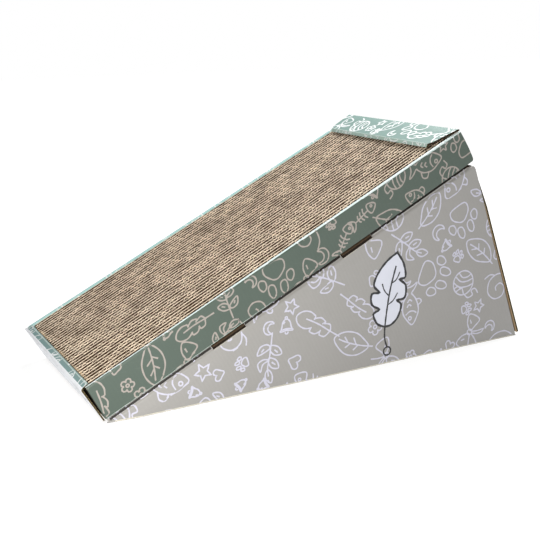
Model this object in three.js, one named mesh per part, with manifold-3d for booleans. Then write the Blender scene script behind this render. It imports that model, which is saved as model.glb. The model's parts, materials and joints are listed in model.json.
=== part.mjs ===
import * as THREE from "three";
import { mergeVertices } from "three/addons/utils/BufferGeometryUtils.js";
import Module from "manifold-3d";

// A ramp-shaped cat scratcher of corrugated board: a folded wedge base, a folded tray that
// stands on its deck, a pad of glued corrugated strips in the tray, and a cover flap over the
// pad's high end. Lengths are in millimetres, angles in degrees, Z is up, the ramp rises
// towards +X and the side with the lower edge towards the viewer is -Y.

// Driving dimensions: the whole object
const WIDTH = 210;
const BASE_LENGTH = 500;
const FRONT_HEIGHT = 5;
const TRAY_LENGTH = 470;
const TRAY_HEIGHT = 39.5;
const BOARD = 2.2;
const GAP = 0.3;
const SLOPE_DEG = 25.8;
const BACK_LEAN_DEG = 19.5;

// Base: folded side panels, deck with lock tabs, floor, front wall, dust flaps, back panel
const FOLD_RADIUS = 4;
const FLANGE_WIDTH = 26;
const BACK_CORNER_RADIUS = 6;
const SLOT_STARTS = [121, 286];
const SLOT_LENGTH = 40;
const SLOT_HEIGHT = 5.4;
const SLOT_REACH = 6;
const TAB_RECESS = 1.2;
const TAB_CLEARANCE = 0.6;
const DUST_FLAP_WIDTH = 34;
const DUST_FLAP_TAPER = 12;
const DUST_FLAP_TOP_SPACE = 22;
const DUST_FLAP_FOOT = 6;
const BACK_PANEL_FOOT = 1.5;
const BACK_FLARE_DEG = 0.8;

// Tray: floor, two rolled side walls, two hollow end walls, two corner tabs
const TRAY_SETBACK = 1.5;
const PLY_GAP = 0.4;
const SIDE_CORNER_RADIUS = 4;
const LOW_WALL_FOOT = 2.6;
const LOW_WALL_HEAD = 5;
const LOW_RIM_REACH = 4.5;
const END_EDGE_RADIUS = 1.5;
const HIGH_WALL_WIDTH = 11;
const HIGH_WALL_RECESS = 0.5;
const CORNER_TAB_WIDTH = 30;

// Pad: strips of corrugated board on edge, glued face to face
const STRIP_COUNT = 35;
const PAD_SIDE_CLEARANCE = 0.4;
const PAD_END_CLEARANCE = 1;
const PAD_DROP = 1.8;

// Cover: a flap hinged on the high wall, with a lip folded down onto the pad
const FLAP_DEPTH = 36;
const FLAP_SIDE_TAPER = 7;
const FLAP_CORNER_RUN = 5;
const FLAP_CORNER_CUT = 4;
const LIP_LENGTH = 5;
const LIP_ANGLE_DEG = 50;

// Working values for cuts and curves
const OVERRUN = 3;
const MERGE_DISTANCE = 0.0001;
const ARC_STEPS = 5;

const wasm = await Module();
wasm.setup();

const SLOPE = THREE.MathUtils.degToRad(SLOPE_DEG);
const BACK_LEAN = THREE.MathUtils.degToRad(BACK_LEAN_DEG);
const HALF = WIDTH / 2;
const QUARTER_TURN = Math.PI / 2;
const RIM_WIDTH = 2 * BOARD + PLY_GAP;
const INSIDE_HALF = HALF - RIM_WIDTH - GAP;

const colours = {
  grey: new THREE.MeshStandardMaterial({ color: 0xb5b0ab, roughness: 0.6, metalness: 0 }),
  kraft: new THREE.MeshStandardMaterial({ color: 0xb08e62, roughness: 0.9, metalness: 0 }),
  green: new THREE.MeshStandardMaterial({ color: 0x68796a, roughness: 0.5, metalness: 0 }),
  mint: new THREE.MeshStandardMaterial({ color: 0xb9d9cc, roughness: 0.5, metalness: 0 }),
  strip: new THREE.MeshStandardMaterial({ color: 0xc9a67c, roughness: 0.95, metalness: 0 }),
};

// Points along an arc from one angle to another, both in radians
function arc(centreX, centreY, radius, from, to) {
  const points = [];
  for (let step = 0; step <= ARC_STEPS; step += 1) {
    const angle = from + ((to - from) * step) / ARC_STEPS;
    points.push([centreX + radius * Math.cos(angle), centreY + radius * Math.sin(angle)]);
  }
  return points;
}

// A closed prism of an outline in the XY plane, from z = 0 to z = depth
function prism(points, depth) {
  const shape = new THREE.Shape(points.map(([x, y]) => new THREE.Vector2(x, y)));
  return new THREE.ExtrudeGeometry(shape, { depth, bevelEnabled: false });
}

// A prism whose outline lies in the XZ plane and which is centred across Y
function acrossY(points, width) {
  return prism(points, width).rotateX(QUARTER_TURN).translate(0, width / 2, 0);
}

// A prism whose outline lies in the YZ plane and which runs along X from the given start
function alongX(points, start, length) {
  const turn = new THREE.Matrix4().makeBasis(
    new THREE.Vector3(0, 1, 0),
    new THREE.Vector3(0, 0, 1),
    new THREE.Vector3(1, 0, 0),
  );
  return prism(points, length).applyMatrix4(turn).translate(start, 0, 0);
}

// A box between two corners
function block(low, high) {
  const size = high.map((value, axis) => value - low[axis]);
  const centre = high.map((value, axis) => (value + low[axis]) / 2);
  return new THREE.BoxGeometry(...size).translate(...centre);
}

// A geometry as a solid that can be joined and cut
function solid(geometry) {
  const bare = geometry.clone();
  bare.deleteAttribute("normal");
  bare.deleteAttribute("uv");
  const merged = mergeVertices(bare, MERGE_DISTANCE);
  const vertProperties = new Float32Array(merged.attributes.position.array);
  const triVerts = new Uint32Array(merged.index.array);
  return new wasm.Manifold(new wasm.Mesh({ numProp: 3, vertProperties, triVerts }));
}

// A solid back as a geometry
function geometryOf(body) {
  const mesh = body.getMesh();
  const geometry = new THREE.BufferGeometry();
  geometry.setAttribute("position", new THREE.BufferAttribute(mesh.vertProperties, 3));
  geometry.setIndex(new THREE.BufferAttribute(mesh.triVerts, 1));
  geometry.computeVertexNormals();
  return geometry;
}

// Adds one named piece to a group
function addPiece(group, name, geometry, material) {
  const mesh = new THREE.Mesh(geometry, material.clone());
  mesh.name = name;
  group.add(mesh);
}

// The same outline on the other side of the XZ plane, when side is +1 instead of -1
function onSide(points, side) {
  return points.map(([y, z]) => [-side * y, z]);
}

// Two distances from the XZ plane as low and high Y on one side
function sideSpan(side, first, second) {
  return side < 0 ? [-Math.max(first, second), -Math.min(first, second)]
    : [Math.min(first, second), Math.max(first, second)];
}

const slopeTurn = new THREE.Matrix4().makeRotationY(-SLOPE);
const deckPlace = new THREE.Matrix4().makeTranslation(0, 0, FRONT_HEIGHT).multiply(slopeTurn);

// Where the deck line meets the back line, and the place along the deck where that is
const backTopHeight = (FRONT_HEIGHT + BASE_LENGTH * Math.tan(SLOPE))
  / (1 + Math.tan(SLOPE) * Math.tan(BACK_LEAN));
const backTopX = BASE_LENGTH - backTopHeight * Math.tan(BACK_LEAN);
const deckLineLength = backTopX / Math.cos(SLOPE);

// The wedge that the side panels are cut to, open above the deck line
function wedgeOutline() {
  const cornerAngle = QUARTER_TURN + SLOPE;
  const backAngle = BACK_LEAN;
  const reach = BACK_CORNER_RADIUS * Math.tan((cornerAngle - backAngle) / 2);
  const centreX = backTopX - reach * Math.cos(SLOPE) + BACK_CORNER_RADIUS * Math.sin(SLOPE);
  const centreZ = backTopHeight - reach * Math.sin(SLOPE) - BACK_CORNER_RADIUS * Math.cos(SLOPE);
  const deckEnd = [backTopX - reach * Math.cos(SLOPE), backTopHeight - reach * Math.sin(SLOPE)];
  return [
    [0, 0],
    [BASE_LENGTH, 0],
    ...arc(centreX, centreZ, BACK_CORNER_RADIUS, backAngle, cornerAngle),
    [deckEnd[0], deckEnd[1] + OVERRUN],
    [0, FRONT_HEIGHT + OVERRUN],
  ];
}

// A side panel: a tall panel with a rounded fold and a flange turned in over the deck
function sidePanel(side) {
  const outer = -HALF;
  const inner = outer + BOARD;
  const bendY = outer + FOLD_RADIUS;
  const flangeEnd = outer + FLANGE_WIDTH;
  const section = [
    [flangeEnd, 0],
    ...arc(bendY, -FOLD_RADIUS, FOLD_RADIUS, QUARTER_TURN, Math.PI),
    [outer, -BASE_LENGTH],
    [inner, -BASE_LENGTH],
    ...arc(bendY, -FOLD_RADIUS, FOLD_RADIUS - BOARD, Math.PI, QUARTER_TURN),
    [flangeEnd, -BOARD],
  ];
  const folded = alongX(onSide(section, side), -BASE_LENGTH, 3 * BASE_LENGTH);
  let body = solid(folded.applyMatrix4(deckPlace));
  body = body.intersect(solid(acrossY(wedgeOutline(), WIDTH + OVERRUN)));
  for (const start of SLOT_STARTS) {
    const [lowY, highY] = sideSpan(side, HALF - SLOT_REACH, HALF + OVERRUN);
    const cutter = block([start, lowY, -SLOT_HEIGHT], [start + SLOT_LENGTH, highY, OVERRUN]);
    body = body.subtract(solid(cutter.applyMatrix4(deckPlace)));
  }
  return geometryOf(body);
}

// The deck: a panel under the flanges, with lock tabs that reach out through the slots
function deckPanel() {
  const top = -(BOARD + GAP);
  const bottom = top - BOARD;
  const edge = HALF - FOLD_RADIUS - GAP;
  const tabEdge = HALF - TAB_RECESS;
  const start = (BOARD + GAP - FRONT_HEIGHT - bottom * Math.cos(SLOPE)) / Math.sin(SLOPE);
  const end = deckLineLength - BACK_CORNER_RADIUS;
  let body = solid(block([start, -edge, bottom], [end, edge, top]));
  for (const slot of SLOT_STARTS) {
    const low = [slot + TAB_CLEARANCE, -tabEdge, bottom];
    const high = [slot + SLOT_LENGTH - TAB_CLEARANCE, tabEdge, top];
    body = body.add(solid(block(low, high)));
  }
  return geometryOf(body).applyMatrix4(deckPlace);
}

// A dust flap: folded in from a side panel's back edge, in the back's own frame
function dustFlap(side, length) {
  const root = HALF - BOARD - GAP;
  const tip = root - DUST_FLAP_WIDTH;
  const outline = [
    [side * root, DUST_FLAP_FOOT],
    [side * root, length - DUST_FLAP_TOP_SPACE],
    [side * tip, length - DUST_FLAP_TOP_SPACE - DUST_FLAP_TAPER],
    [side * tip, DUST_FLAP_FOOT + DUST_FLAP_TAPER],
  ];
  return alongX(outline, -BOARD, BOARD);
}

function buildBase() {
  const base = new THREE.Group();
  addPiece(base, "base_side_near", sidePanel(-1), colours.grey);
  addPiece(base, "base_side_far", sidePanel(1), colours.grey);
  addPiece(base, "base_deck", deckPanel(), colours.kraft);

  const inside = HALF - BOARD - GAP;
  const floorEnd = BASE_LENGTH - BOARD - BOARD * Math.tan(BACK_LEAN);
  const floor = block([BOARD + GAP, -inside, 0], [floorEnd, inside, BOARD]);
  addPiece(base, "base_floor", floor, colours.kraft);

  const frontHalf = HALF - FLANGE_WIDTH - GAP;
  const front = block([0, -frontHalf, 0], [BOARD, frontHalf, FRONT_HEIGHT]);
  addPiece(base, "base_front_wall", front, colours.grey);

  // The back's frame: origin at the base's bottom back edge, Z up along the leaning back
  const backLength = backTopHeight / Math.cos(BACK_LEAN);
  const back = new THREE.Group();
  back.position.set(BASE_LENGTH, 0, 0);
  back.rotation.y = -BACK_LEAN;
  addPiece(back, "base_dust_flap_near", dustFlap(-1, backLength), colours.kraft);
  addPiece(back, "base_dust_flap_far", dustFlap(1, backLength), colours.kraft);

  // The back panel hangs from its crease at the top and stands off a little at its foot
  const crease = new THREE.Group();
  crease.name = "back_panel_crease";
  crease.position.set(BOARD + GAP, 0, backLength - BACK_CORNER_RADIUS);
  crease.rotation.y = -THREE.MathUtils.degToRad(BACK_FLARE_DEG);
  const drop = backLength - BACK_CORNER_RADIUS - BACK_PANEL_FOOT - BOARD * Math.tan(BACK_LEAN);
  addPiece(crease, "back_panel", block([-BOARD, -HALF, -drop], [0, HALF, 0]), colours.grey);
  back.add(crease);
  base.add(back);
  return base;
}

// A tray side wall: one board rolled over at the rim into an outer and an inner ply
function traySide(side) {
  const outer = -HALF;
  const rimRadius = RIM_WIDTH / 2;
  const rimY = outer + rimRadius;
  const rimZ = TRAY_HEIGHT - rimRadius;
  const section = [
    [outer, 0],
    ...arc(rimY, rimZ, rimRadius, Math.PI, 0),
    [outer + RIM_WIDTH, BOARD + GAP],
    [outer + RIM_WIDTH - BOARD, BOARD + GAP],
    ...arc(rimY, rimZ, PLY_GAP / 2, 0, Math.PI),
    [outer + BOARD, 0],
  ];
  const outline = [
    [0, -OVERRUN],
    [TRAY_LENGTH - SIDE_CORNER_RADIUS, -OVERRUN],
    ...arc(TRAY_LENGTH - SIDE_CORNER_RADIUS, SIDE_CORNER_RADIUS, SIDE_CORNER_RADIUS, -QUARTER_TURN, 0),
    [TRAY_LENGTH, TRAY_HEIGHT + OVERRUN],
    [0, TRAY_HEIGHT + OVERRUN],
  ];
  const rolled = solid(alongX(onSide(section, side), -OVERRUN, TRAY_LENGTH + 2 * OVERRUN));
  return geometryOf(rolled.intersect(solid(acrossY(outline, WIDTH + OVERRUN))));
}

// The low wall: an outer ply that leans out at its head, a flat rim and an inner ply
function lowWall() {
  const head = TRAY_HEIGHT;
  const rimInside = LOW_RIM_REACH - BOARD;
  const section = [
    [-LOW_WALL_FOOT, 0],
    ...arc(-LOW_WALL_HEAD + END_EDGE_RADIUS, head - END_EDGE_RADIUS, END_EDGE_RADIUS, Math.PI, QUARTER_TURN),
    ...arc(LOW_RIM_REACH - END_EDGE_RADIUS, head - END_EDGE_RADIUS, END_EDGE_RADIUS, QUARTER_TURN, 0),
    [LOW_RIM_REACH, BOARD + GAP],
    [rimInside, BOARD + GAP],
    [rimInside, head - BOARD],
    [-LOW_WALL_HEAD + BOARD, head - BOARD],
    [-LOW_WALL_FOOT + BOARD, 0],
  ];
  let body = solid(acrossY(section, WIDTH));
  for (const side of [-1, 1]) {
    const [lowY, highY] = sideSpan(side, INSIDE_HALF, HALF + OVERRUN);
    const notch = block([-GAP, lowY, -OVERRUN], [LOW_RIM_REACH + OVERRUN, highY, head + OVERRUN]);
    body = body.subtract(solid(notch));
    const corner = [
      [-LOW_WALL_HEAD, side * HALF],
      [-GAP, side * INSIDE_HALF],
      [-GAP, side * (HALF + OVERRUN)],
      [-LOW_WALL_HEAD, side * (HALF + OVERRUN)],
    ];
    body = body.subtract(solid(prism(corner, BOARD + OVERRUN).translate(0, 0, head - BOARD)));
  }
  return geometryOf(body);
}

// The high wall: a hollow wall of the same build, between the side walls
function highWall() {
  const outside = TRAY_LENGTH - HIGH_WALL_RECESS;
  const inside = outside - HIGH_WALL_WIDTH;
  const section = [
    [outside, 0],
    ...arc(outside - END_EDGE_RADIUS, TRAY_HEIGHT - END_EDGE_RADIUS, END_EDGE_RADIUS, 0, QUARTER_TURN),
    ...arc(inside + END_EDGE_RADIUS, TRAY_HEIGHT - END_EDGE_RADIUS, END_EDGE_RADIUS, QUARTER_TURN, Math.PI),
    [inside, BOARD + GAP],
    [inside + BOARD, BOARD + GAP],
    [inside + BOARD, TRAY_HEIGHT - BOARD],
    [outside - BOARD, TRAY_HEIGHT - BOARD],
    [outside - BOARD, 0],
  ];
  return acrossY(section, 2 * INSIDE_HALF);
}

// A corner tab: turned in from a side wall's low end, inside the hollow low wall
function cornerTab(side) {
  const start = LOW_RIM_REACH - 2 * BOARD - GAP;
  const [lowY, highY] = sideSpan(side, INSIDE_HALF - CORNER_TAB_WIDTH, INSIDE_HALF);
  return block([start, lowY, BOARD + GAP], [start + BOARD, highY, TRAY_HEIGHT - BOARD - GAP]);
}

// The strips of the pad, side by side across the tray
function addPad(tray) {
  const start = LOW_RIM_REACH + PAD_END_CLEARANCE;
  const end = TRAY_LENGTH - HIGH_WALL_RECESS - HIGH_WALL_WIDTH - PAD_END_CLEARANCE;
  const padHalf = HALF - RIM_WIDTH - PAD_SIDE_CLEARANCE;
  const pitch = (2 * padHalf + GAP) / STRIP_COUNT;
  const bottom = BOARD + GAP;
  for (let index = 0; index < STRIP_COUNT; index += 1) {
    const near = -padHalf + index * pitch;
    const strip = block([start, near, bottom], [end, near + pitch - GAP, TRAY_HEIGHT - PAD_DROP]);
    addPiece(tray, `pad_strip_${String(index + 1).padStart(2, "0")}`, strip, colours.strip);
  }
}

// The cover flap's outline: tapered sides and cut corners towards its free edge
function flapOutline() {
  const freeEdge = -GAP - FLAP_DEPTH;
  const taperHalf = HALF - FLAP_SIDE_TAPER;
  const edgeHalf = taperHalf - FLAP_CORNER_CUT;
  const nearSide = [
    [-GAP, -HALF],
    [freeEdge + FLAP_CORNER_RUN, -taperHalf],
    [freeEdge, -edgeHalf],
  ];
  return [...nearSide, ...nearSide.map(([x, y]) => [x, -y]).reverse()];
}

// The lip's section, from the crease on the flap's free edge: crease, tip, foot and root
function lipSection() {
  const angle = THREE.MathUtils.degToRad(LIP_ANGLE_DEG);
  const along = [-Math.cos(angle), -Math.sin(angle)];
  const under = [Math.sin(angle), -Math.cos(angle)];
  const tip = [LIP_LENGTH * along[0], LIP_LENGTH * along[1]];
  const tipUnder = [tip[0] + BOARD * under[0], tip[1] + BOARD * under[1]];
  const back = tipUnder[0] / along[0];
  return [[0, 0], tip, tipUnder, [0, tipUnder[1] - back * along[1]]];
}

// The crease of the lip in the cover's frame
const lipCrease = [-2 * GAP - FLAP_DEPTH, BOARD];

// The small tilt of the flap that stands the lip's foot on the pad
function flapTilt() {
  const foot = lipSection()[2].map((value, axis) => value + lipCrease[axis]);
  const reach = Math.hypot(foot[0], foot[1]);
  return Math.asin(-PAD_DROP / reach) - Math.atan2(foot[1], -foot[0]);
}

function buildCover() {
  const cover = new THREE.Group();
  cover.name = "cover_crease";
  cover.position.set(TRAY_LENGTH, 0, TRAY_HEIGHT + GAP);
  cover.rotation.y = flapTilt();
  addPiece(cover, "cover_flap", prism(flapOutline(), BOARD), colours.mint);

  const lip = new THREE.Group();
  lip.name = "lip_crease";
  lip.position.set(lipCrease[0], 0, lipCrease[1]);
  const lipWidth = 2 * (HALF - FLAP_SIDE_TAPER - FLAP_CORNER_CUT);
  addPiece(lip, "cover_lip", acrossY(lipSection(), lipWidth), colours.mint);
  cover.add(lip);
  return cover;
}

function buildTray() {
  const tray = new THREE.Group();
  tray.name = "tray_seat";
  const seat = new THREE.Vector3(-TRAY_SETBACK, 0, GAP).applyMatrix4(deckPlace);
  tray.position.copy(seat);
  tray.rotation.y = -SLOPE;

  const floorHalf = HALF - BOARD - GAP;
  const floorEnd = TRAY_LENGTH - HIGH_WALL_RECESS - BOARD - GAP;
  const floor = block([0, -floorHalf, 0], [floorEnd, floorHalf, BOARD]);
  addPiece(tray, "tray_floor", floor, colours.kraft);
  addPiece(tray, "tray_side_near", traySide(-1), colours.green);
  addPiece(tray, "tray_side_far", traySide(1), colours.green);
  addPiece(tray, "tray_wall_low", lowWall(), colours.mint);
  addPiece(tray, "tray_wall_high", highWall(), colours.green);
  addPiece(tray, "tray_tab_near", cornerTab(-1), colours.kraft);
  addPiece(tray, "tray_tab_far", cornerTab(1), colours.kraft);
  addPad(tray);
  tray.add(buildCover());
  return tray;
}

// The origin is at the middle of the bottom of the whole object's box
const scratcher = new THREE.Group();
const parts = new THREE.Group();
parts.add(buildBase(), buildTray());
scratcher.add(parts);
scratcher.updateMatrixWorld(true);
const extent = new THREE.Box3().setFromObject(scratcher, true);
const middle = extent.getCenter(new THREE.Vector3());
parts.position.set(-middle.x, -middle.y, -extent.min.z);

export default scratcher;
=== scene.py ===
import json
import logging
import math
import random
from dataclasses import dataclass, field
from enum import Enum
from typing import Any, Callable, Iterable, Sequence

import bpy
from mathutils import Matrix, Vector, noise

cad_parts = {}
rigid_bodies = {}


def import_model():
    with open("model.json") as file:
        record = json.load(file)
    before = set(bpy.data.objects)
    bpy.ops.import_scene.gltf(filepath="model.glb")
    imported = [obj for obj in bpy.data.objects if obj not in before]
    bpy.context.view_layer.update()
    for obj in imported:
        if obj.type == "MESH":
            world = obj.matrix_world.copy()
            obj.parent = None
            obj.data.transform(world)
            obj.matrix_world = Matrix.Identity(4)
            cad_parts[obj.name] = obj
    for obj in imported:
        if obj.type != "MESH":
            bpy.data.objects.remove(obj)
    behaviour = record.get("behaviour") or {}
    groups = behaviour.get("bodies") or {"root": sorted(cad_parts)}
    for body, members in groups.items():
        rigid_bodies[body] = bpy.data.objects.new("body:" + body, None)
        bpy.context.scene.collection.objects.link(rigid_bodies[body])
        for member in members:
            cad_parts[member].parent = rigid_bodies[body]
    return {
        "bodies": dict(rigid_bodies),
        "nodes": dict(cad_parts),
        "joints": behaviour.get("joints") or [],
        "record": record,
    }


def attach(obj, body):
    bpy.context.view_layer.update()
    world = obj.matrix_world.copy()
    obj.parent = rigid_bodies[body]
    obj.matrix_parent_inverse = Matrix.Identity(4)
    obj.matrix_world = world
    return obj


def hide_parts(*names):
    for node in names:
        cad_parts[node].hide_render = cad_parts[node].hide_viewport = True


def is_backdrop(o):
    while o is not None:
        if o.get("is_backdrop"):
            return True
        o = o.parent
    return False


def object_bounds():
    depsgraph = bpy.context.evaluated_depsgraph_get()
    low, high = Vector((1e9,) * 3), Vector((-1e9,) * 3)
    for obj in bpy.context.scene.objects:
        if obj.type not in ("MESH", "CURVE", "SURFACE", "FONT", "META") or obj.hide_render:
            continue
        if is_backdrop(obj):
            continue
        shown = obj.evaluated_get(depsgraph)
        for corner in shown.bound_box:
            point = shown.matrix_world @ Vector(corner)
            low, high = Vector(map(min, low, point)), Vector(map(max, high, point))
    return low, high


LOG = logging.getLogger("cat_scratcher")
MM = 0.001
RGB = tuple[float, float, float]
Pair = tuple[float, float]
Stroke = tuple[bool, bool, tuple[Pair, ...]]


class Run(Enum):
    """Which way a bent board runs: along the ramp or across it."""

    ALONG = "along"
    ACROSS = "across"


class Side(Enum):
    """A side of the object, with the sign of its Y."""

    NEAR = -1
    FAR = 1


class Face(Enum):
    """The places in a board's list of finishes."""

    PRINT = 0
    LINER = 1
    CUT = 2
    HOLLOW = 3
    TOP_PRINT = 4


# Materials


class Value:
    """A number socket whose operators add Math nodes to its material."""

    def __init__(self, kit: "Kit", socket: bpy.types.NodeSocket) -> None:
        self.kit = kit
        self.socket = socket

    def math(self, operation: str, *others: Any, clamp: bool = False) -> "Value":
        """Adds one Math node.

        Args:
            operation: the Math node's operation.
            others: its further inputs, numbers or values.
            clamp: whether its result is held between 0 and 1.

        Returns:
            The node's result.
        """
        settings = {"operation": operation, "use_clamp": clamp}
        sockets = dict(enumerate((self, *others)))
        return self.kit.value("ShaderNodeMath", settings, sockets)

    def __add__(self, other: Any) -> "Value":
        """self + other"""
        return self.math("ADD", other)

    __radd__ = __add__

    def __sub__(self, other: Any) -> "Value":
        """self - other"""
        return self.math("SUBTRACT", other)

    def __rsub__(self, other: float) -> "Value":
        """other - self"""
        return (self * -1.0) + other

    def __mul__(self, other: Any) -> "Value":
        """self * other"""
        return self.math("MULTIPLY", other)

    __rmul__ = __mul__

    def __truediv__(self, other: Any) -> "Value":
        """self / other"""
        return self.math("DIVIDE", other)

    def __pow__(self, other: Any) -> "Value":
        """self ** other"""
        return self.math("POWER", other)

    def clamped(self) -> "Value":
        """The value held between 0 and 1."""
        return self.math("ADD", 0.0, clamp=True)

    def wave(self) -> "Value":
        """The sine of the value."""
        return self.math("SINE")

    def between(self, low: float, high: float) -> "Value":
        """0 at low and 1 at high, straight in between and held outside."""
        return ((self - low) / (high - low)).clamped()


class Kit:
    """One material's nodes, with short ways to add and join them."""

    def __init__(self, name: str) -> None:
        """Makes an empty node material with an output."""
        self.material = bpy.data.materials.new(name)
        self.material.use_nodes = True
        self.tree = self.material.node_tree
        self.tree.nodes.clear()
        self.output = self.tree.nodes.new("ShaderNodeOutputMaterial")
        self.place = self.node("ShaderNodeTexCoord").outputs["Object"]

    def node(self, kind: str, settings: dict[str, Any] | None = None,
             sockets: dict[Any, Any] | None = None) -> bpy.types.Node:
        """Adds a node of any kind.

        Args:
            kind: the node's type.
            settings: its own settings; stops is a ramp's list of places and colours.
            sockets: what goes to each input: a number, a colour, a link or a value.

        Returns:
            The new node.
        """
        made = self.tree.nodes.new(kind)
        for key, setting in (settings or {}).items():
            if key == "stops":
                ramp = made.color_ramp
                while len(ramp.elements) < len(setting):
                    ramp.elements.new(0.5)
                for element, (place, colour) in zip(ramp.elements, setting):
                    element.position = place
                    element.color = (*colour, 1.0)
            else:
                setattr(made, key, setting)
        for key, given in (sockets or {}).items():
            if isinstance(given, Value):
                given = given.socket
            if isinstance(given, bpy.types.NodeSocket):
                self.tree.links.new(given, made.inputs[key])
            elif isinstance(given, tuple) and len(given) == 3 and made.inputs[key].type == "RGBA":
                made.inputs[key].default_value = (*given, 1.0)
            else:
                made.inputs[key].default_value = given
        return made

    def value(self, kind: str, settings: dict[str, Any] | None = None,
              sockets: dict[Any, Any] | None = None, out: Any = 0) -> Value:
        """A node's output as a number; out names the output."""
        return Value(self, self.node(kind, settings, sockets).outputs[out])

    def mix(self, low: Any, high: Any, share: Any, how: str = "MIX") -> bpy.types.NodeSocket:
        """Mixes two colours.

        Args:
            low: the colour at share 0.
            high: the colour at share 1.
            share: how much of high shows.
            how: the blend mode.

        Returns:
            The mixed colour's socket.
        """
        settings = {"data_type": "RGBA", "blend_type": how}
        return self.node("ShaderNodeMix", settings, {0: share, 6: low, 7: high}).outputs[2]

    def stretched(self, scale: tuple[float, float, float]) -> bpy.types.NodeSocket:
        """The place on the object, with each axis multiplied by a scale."""
        settings = {"operation": "MULTIPLY"}
        return self.node("ShaderNodeVectorMath", settings, {0: self.place, 1: scale}).outputs[0]

    def along(self, direction: Vector, origin: Vector | None = None) -> Value:
        """The distance along a direction from an origin, in metres."""
        base = (origin or Vector()).dot(direction)
        made = self.value("ShaderNodeVectorMath", {"operation": "DOT_PRODUCT"},
                          {0: self.place, 1: tuple(direction)}, "Value")
        return made - base

    def noise(self, scale: float, detail: float = 3.0, where: Any = None) -> Value:
        """Cloudy noise from 0 to 1 at so many cells a metre."""
        sockets = {"Vector": where or self.place, "Scale": scale, "Detail": detail}
        return self.value("ShaderNodeTexNoise", None, sockets)

    def bump(self, height: Value, distance: float, under: Any = None) -> bpy.types.NodeSocket:
        """A normal from a height.

        Args:
            height: the height, from 0 to 1.
            distance: how high 1 stands, in metres.
            under: another bump's normal, if one lies beneath.

        Returns:
            The normal's socket.
        """
        sockets = {"Height": height, "Distance": distance, "Strength": 1.0}
        if under is not None:
            sockets["Normal"] = under
        return self.node("ShaderNodeBump", None, sockets).outputs[0]

    def shade(self, colour: Any, roughness: Any, normal: Any, specular: float = 0.5,
              coat: float = 0.0, coat_roughness: float = 0.3, glow: float = 0.0,
              shine: Any = (1.0, 1.0, 1.0)) -> bpy.types.Material:
        """Ends the material in one surface shader.

        Args:
            colour: the base colour.
            roughness: the roughness.
            normal: the normal's socket.
            specular: the strength of the reflection.
            coat: the strength of the varnish.
            coat_roughness: how dull the varnish is.
            glow: how strongly it shines with a light of its own.
            shine: the colour of that light.

        Returns:
            The finished material.
        """
        sockets = {"Base Color": colour, "Roughness": roughness, "Normal": normal,
                   "Specular IOR Level": specular, "Coat Weight": coat,
                   "Coat Roughness": coat_roughness, "Emission Color": shine,
                   "Emission Strength": glow}
        shader = self.node("ShaderNodeBsdfPrincipled", None, sockets)
        self.tree.links.new(shader.outputs[0], self.output.inputs[0])
        return self.material


@dataclass(frozen=True)
class PrintedPaper:
    """Varnished print on the outer paper of a corrugated board.

    The colour drifts a little over each panel, the flutes show through as a faint
    washboard, and the paper has a fine fibre.
    """

    name: str
    colour: RGB
    drift: RGB
    flutes_across: Vector
    flute_pitch: float = 4.0 * MM
    washboard: float = 0.03 * MM
    rough: float = 0.42
    varnish: float = 0.1
    specular: float = 0.5

    def make(self) -> bpy.types.Material:
        """Builds the material."""
        kit = Kit(self.name)
        cloud = kit.noise(7.0, 2.0).between(0.3, 0.7)
        fibre = kit.noise(1500.0, 4.0)
        mottle = kit.noise(160.0, 3.0).between(0.25, 0.75)
        phase = kit.along(self.flutes_across) * (2 * math.pi / self.flute_pitch)
        waver = kit.noise(30.0, 1.0) * 4.0
        flute = (phase + waver).wave() * 0.5 + 0.5
        colour = kit.mix(self.colour, self.drift, cloud * 0.8)
        dim = tuple(0.9 * part for part in self.colour)
        colour = kit.mix(colour, dim, mottle * 0.16 + fibre * 0.14)
        colour = kit.mix(colour, dim, flute * 0.14)
        rub = kit.noise(900.0, 2.0, kit.stretched((0.12, 1.0, 1.0))).between(0.66, 0.8)
        lifted = tuple(min(1.0, 0.25 + 0.8 * part) for part in self.colour)
        colour = kit.mix(colour, lifted, rub * 0.07)
        roughness = (mottle * 0.12 + flute * 0.03 + self.rough).clamped()
        normal = kit.bump(flute, self.washboard)
        normal = kit.bump(fibre, 0.012 * MM, normal)
        return kit.shade(colour, roughness, normal, self.specular, self.varnish)


@dataclass(frozen=True)
class Ink:
    """A line or a filled form of the print, as dull or shiny as the paper it is on."""

    name: str
    colour: RGB
    rough: float = 0.42
    varnish: float = 0.1

    def make(self) -> bpy.types.Material:
        """Builds the material."""
        kit = Kit(self.name)
        fibre = kit.noise(1500.0, 4.0)
        patch = kit.noise(60.0, 3.0).between(0.3, 0.8)
        dim = tuple(0.88 * part for part in self.colour)
        colour = kit.mix(self.colour, dim, patch * 0.3 + fibre * 0.25)
        roughness = patch * 0.1 + self.rough
        return kit.shade(colour, roughness, kit.bump(fibre, 0.012 * MM), 0.5, self.varnish)


@dataclass(frozen=True)
class Kraft:
    """Bare brown board: long pale and dark fibres in a warm ground."""

    name: str
    colour: RGB
    fibre: RGB
    shadow: RGB
    grain: tuple[float, float, float] = (1.0, 5.0, 5.0)
    rough: float = 0.86

    def make(self) -> bpy.types.Material:
        """Builds the material."""
        kit = Kit(self.name)
        long_fibre = kit.noise(420.0, 5.0, kit.stretched(self.grain)).between(0.35, 0.72)
        fleck = kit.noise(1300.0, 3.0).between(0.58, 0.72)
        cloud = kit.noise(35.0, 3.0).between(0.3, 0.75)
        colour = kit.mix(self.colour, self.fibre, long_fibre * 0.55)
        colour = kit.mix(colour, self.shadow, fleck * 0.35 + cloud * 0.2)
        roughness = (long_fibre * 0.08 + self.rough).clamped()
        normal = kit.bump(long_fibre, 0.05 * MM, kit.bump(fleck, 0.03 * MM))
        return kit.shade(colour, roughness, normal, 0.2)


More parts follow.
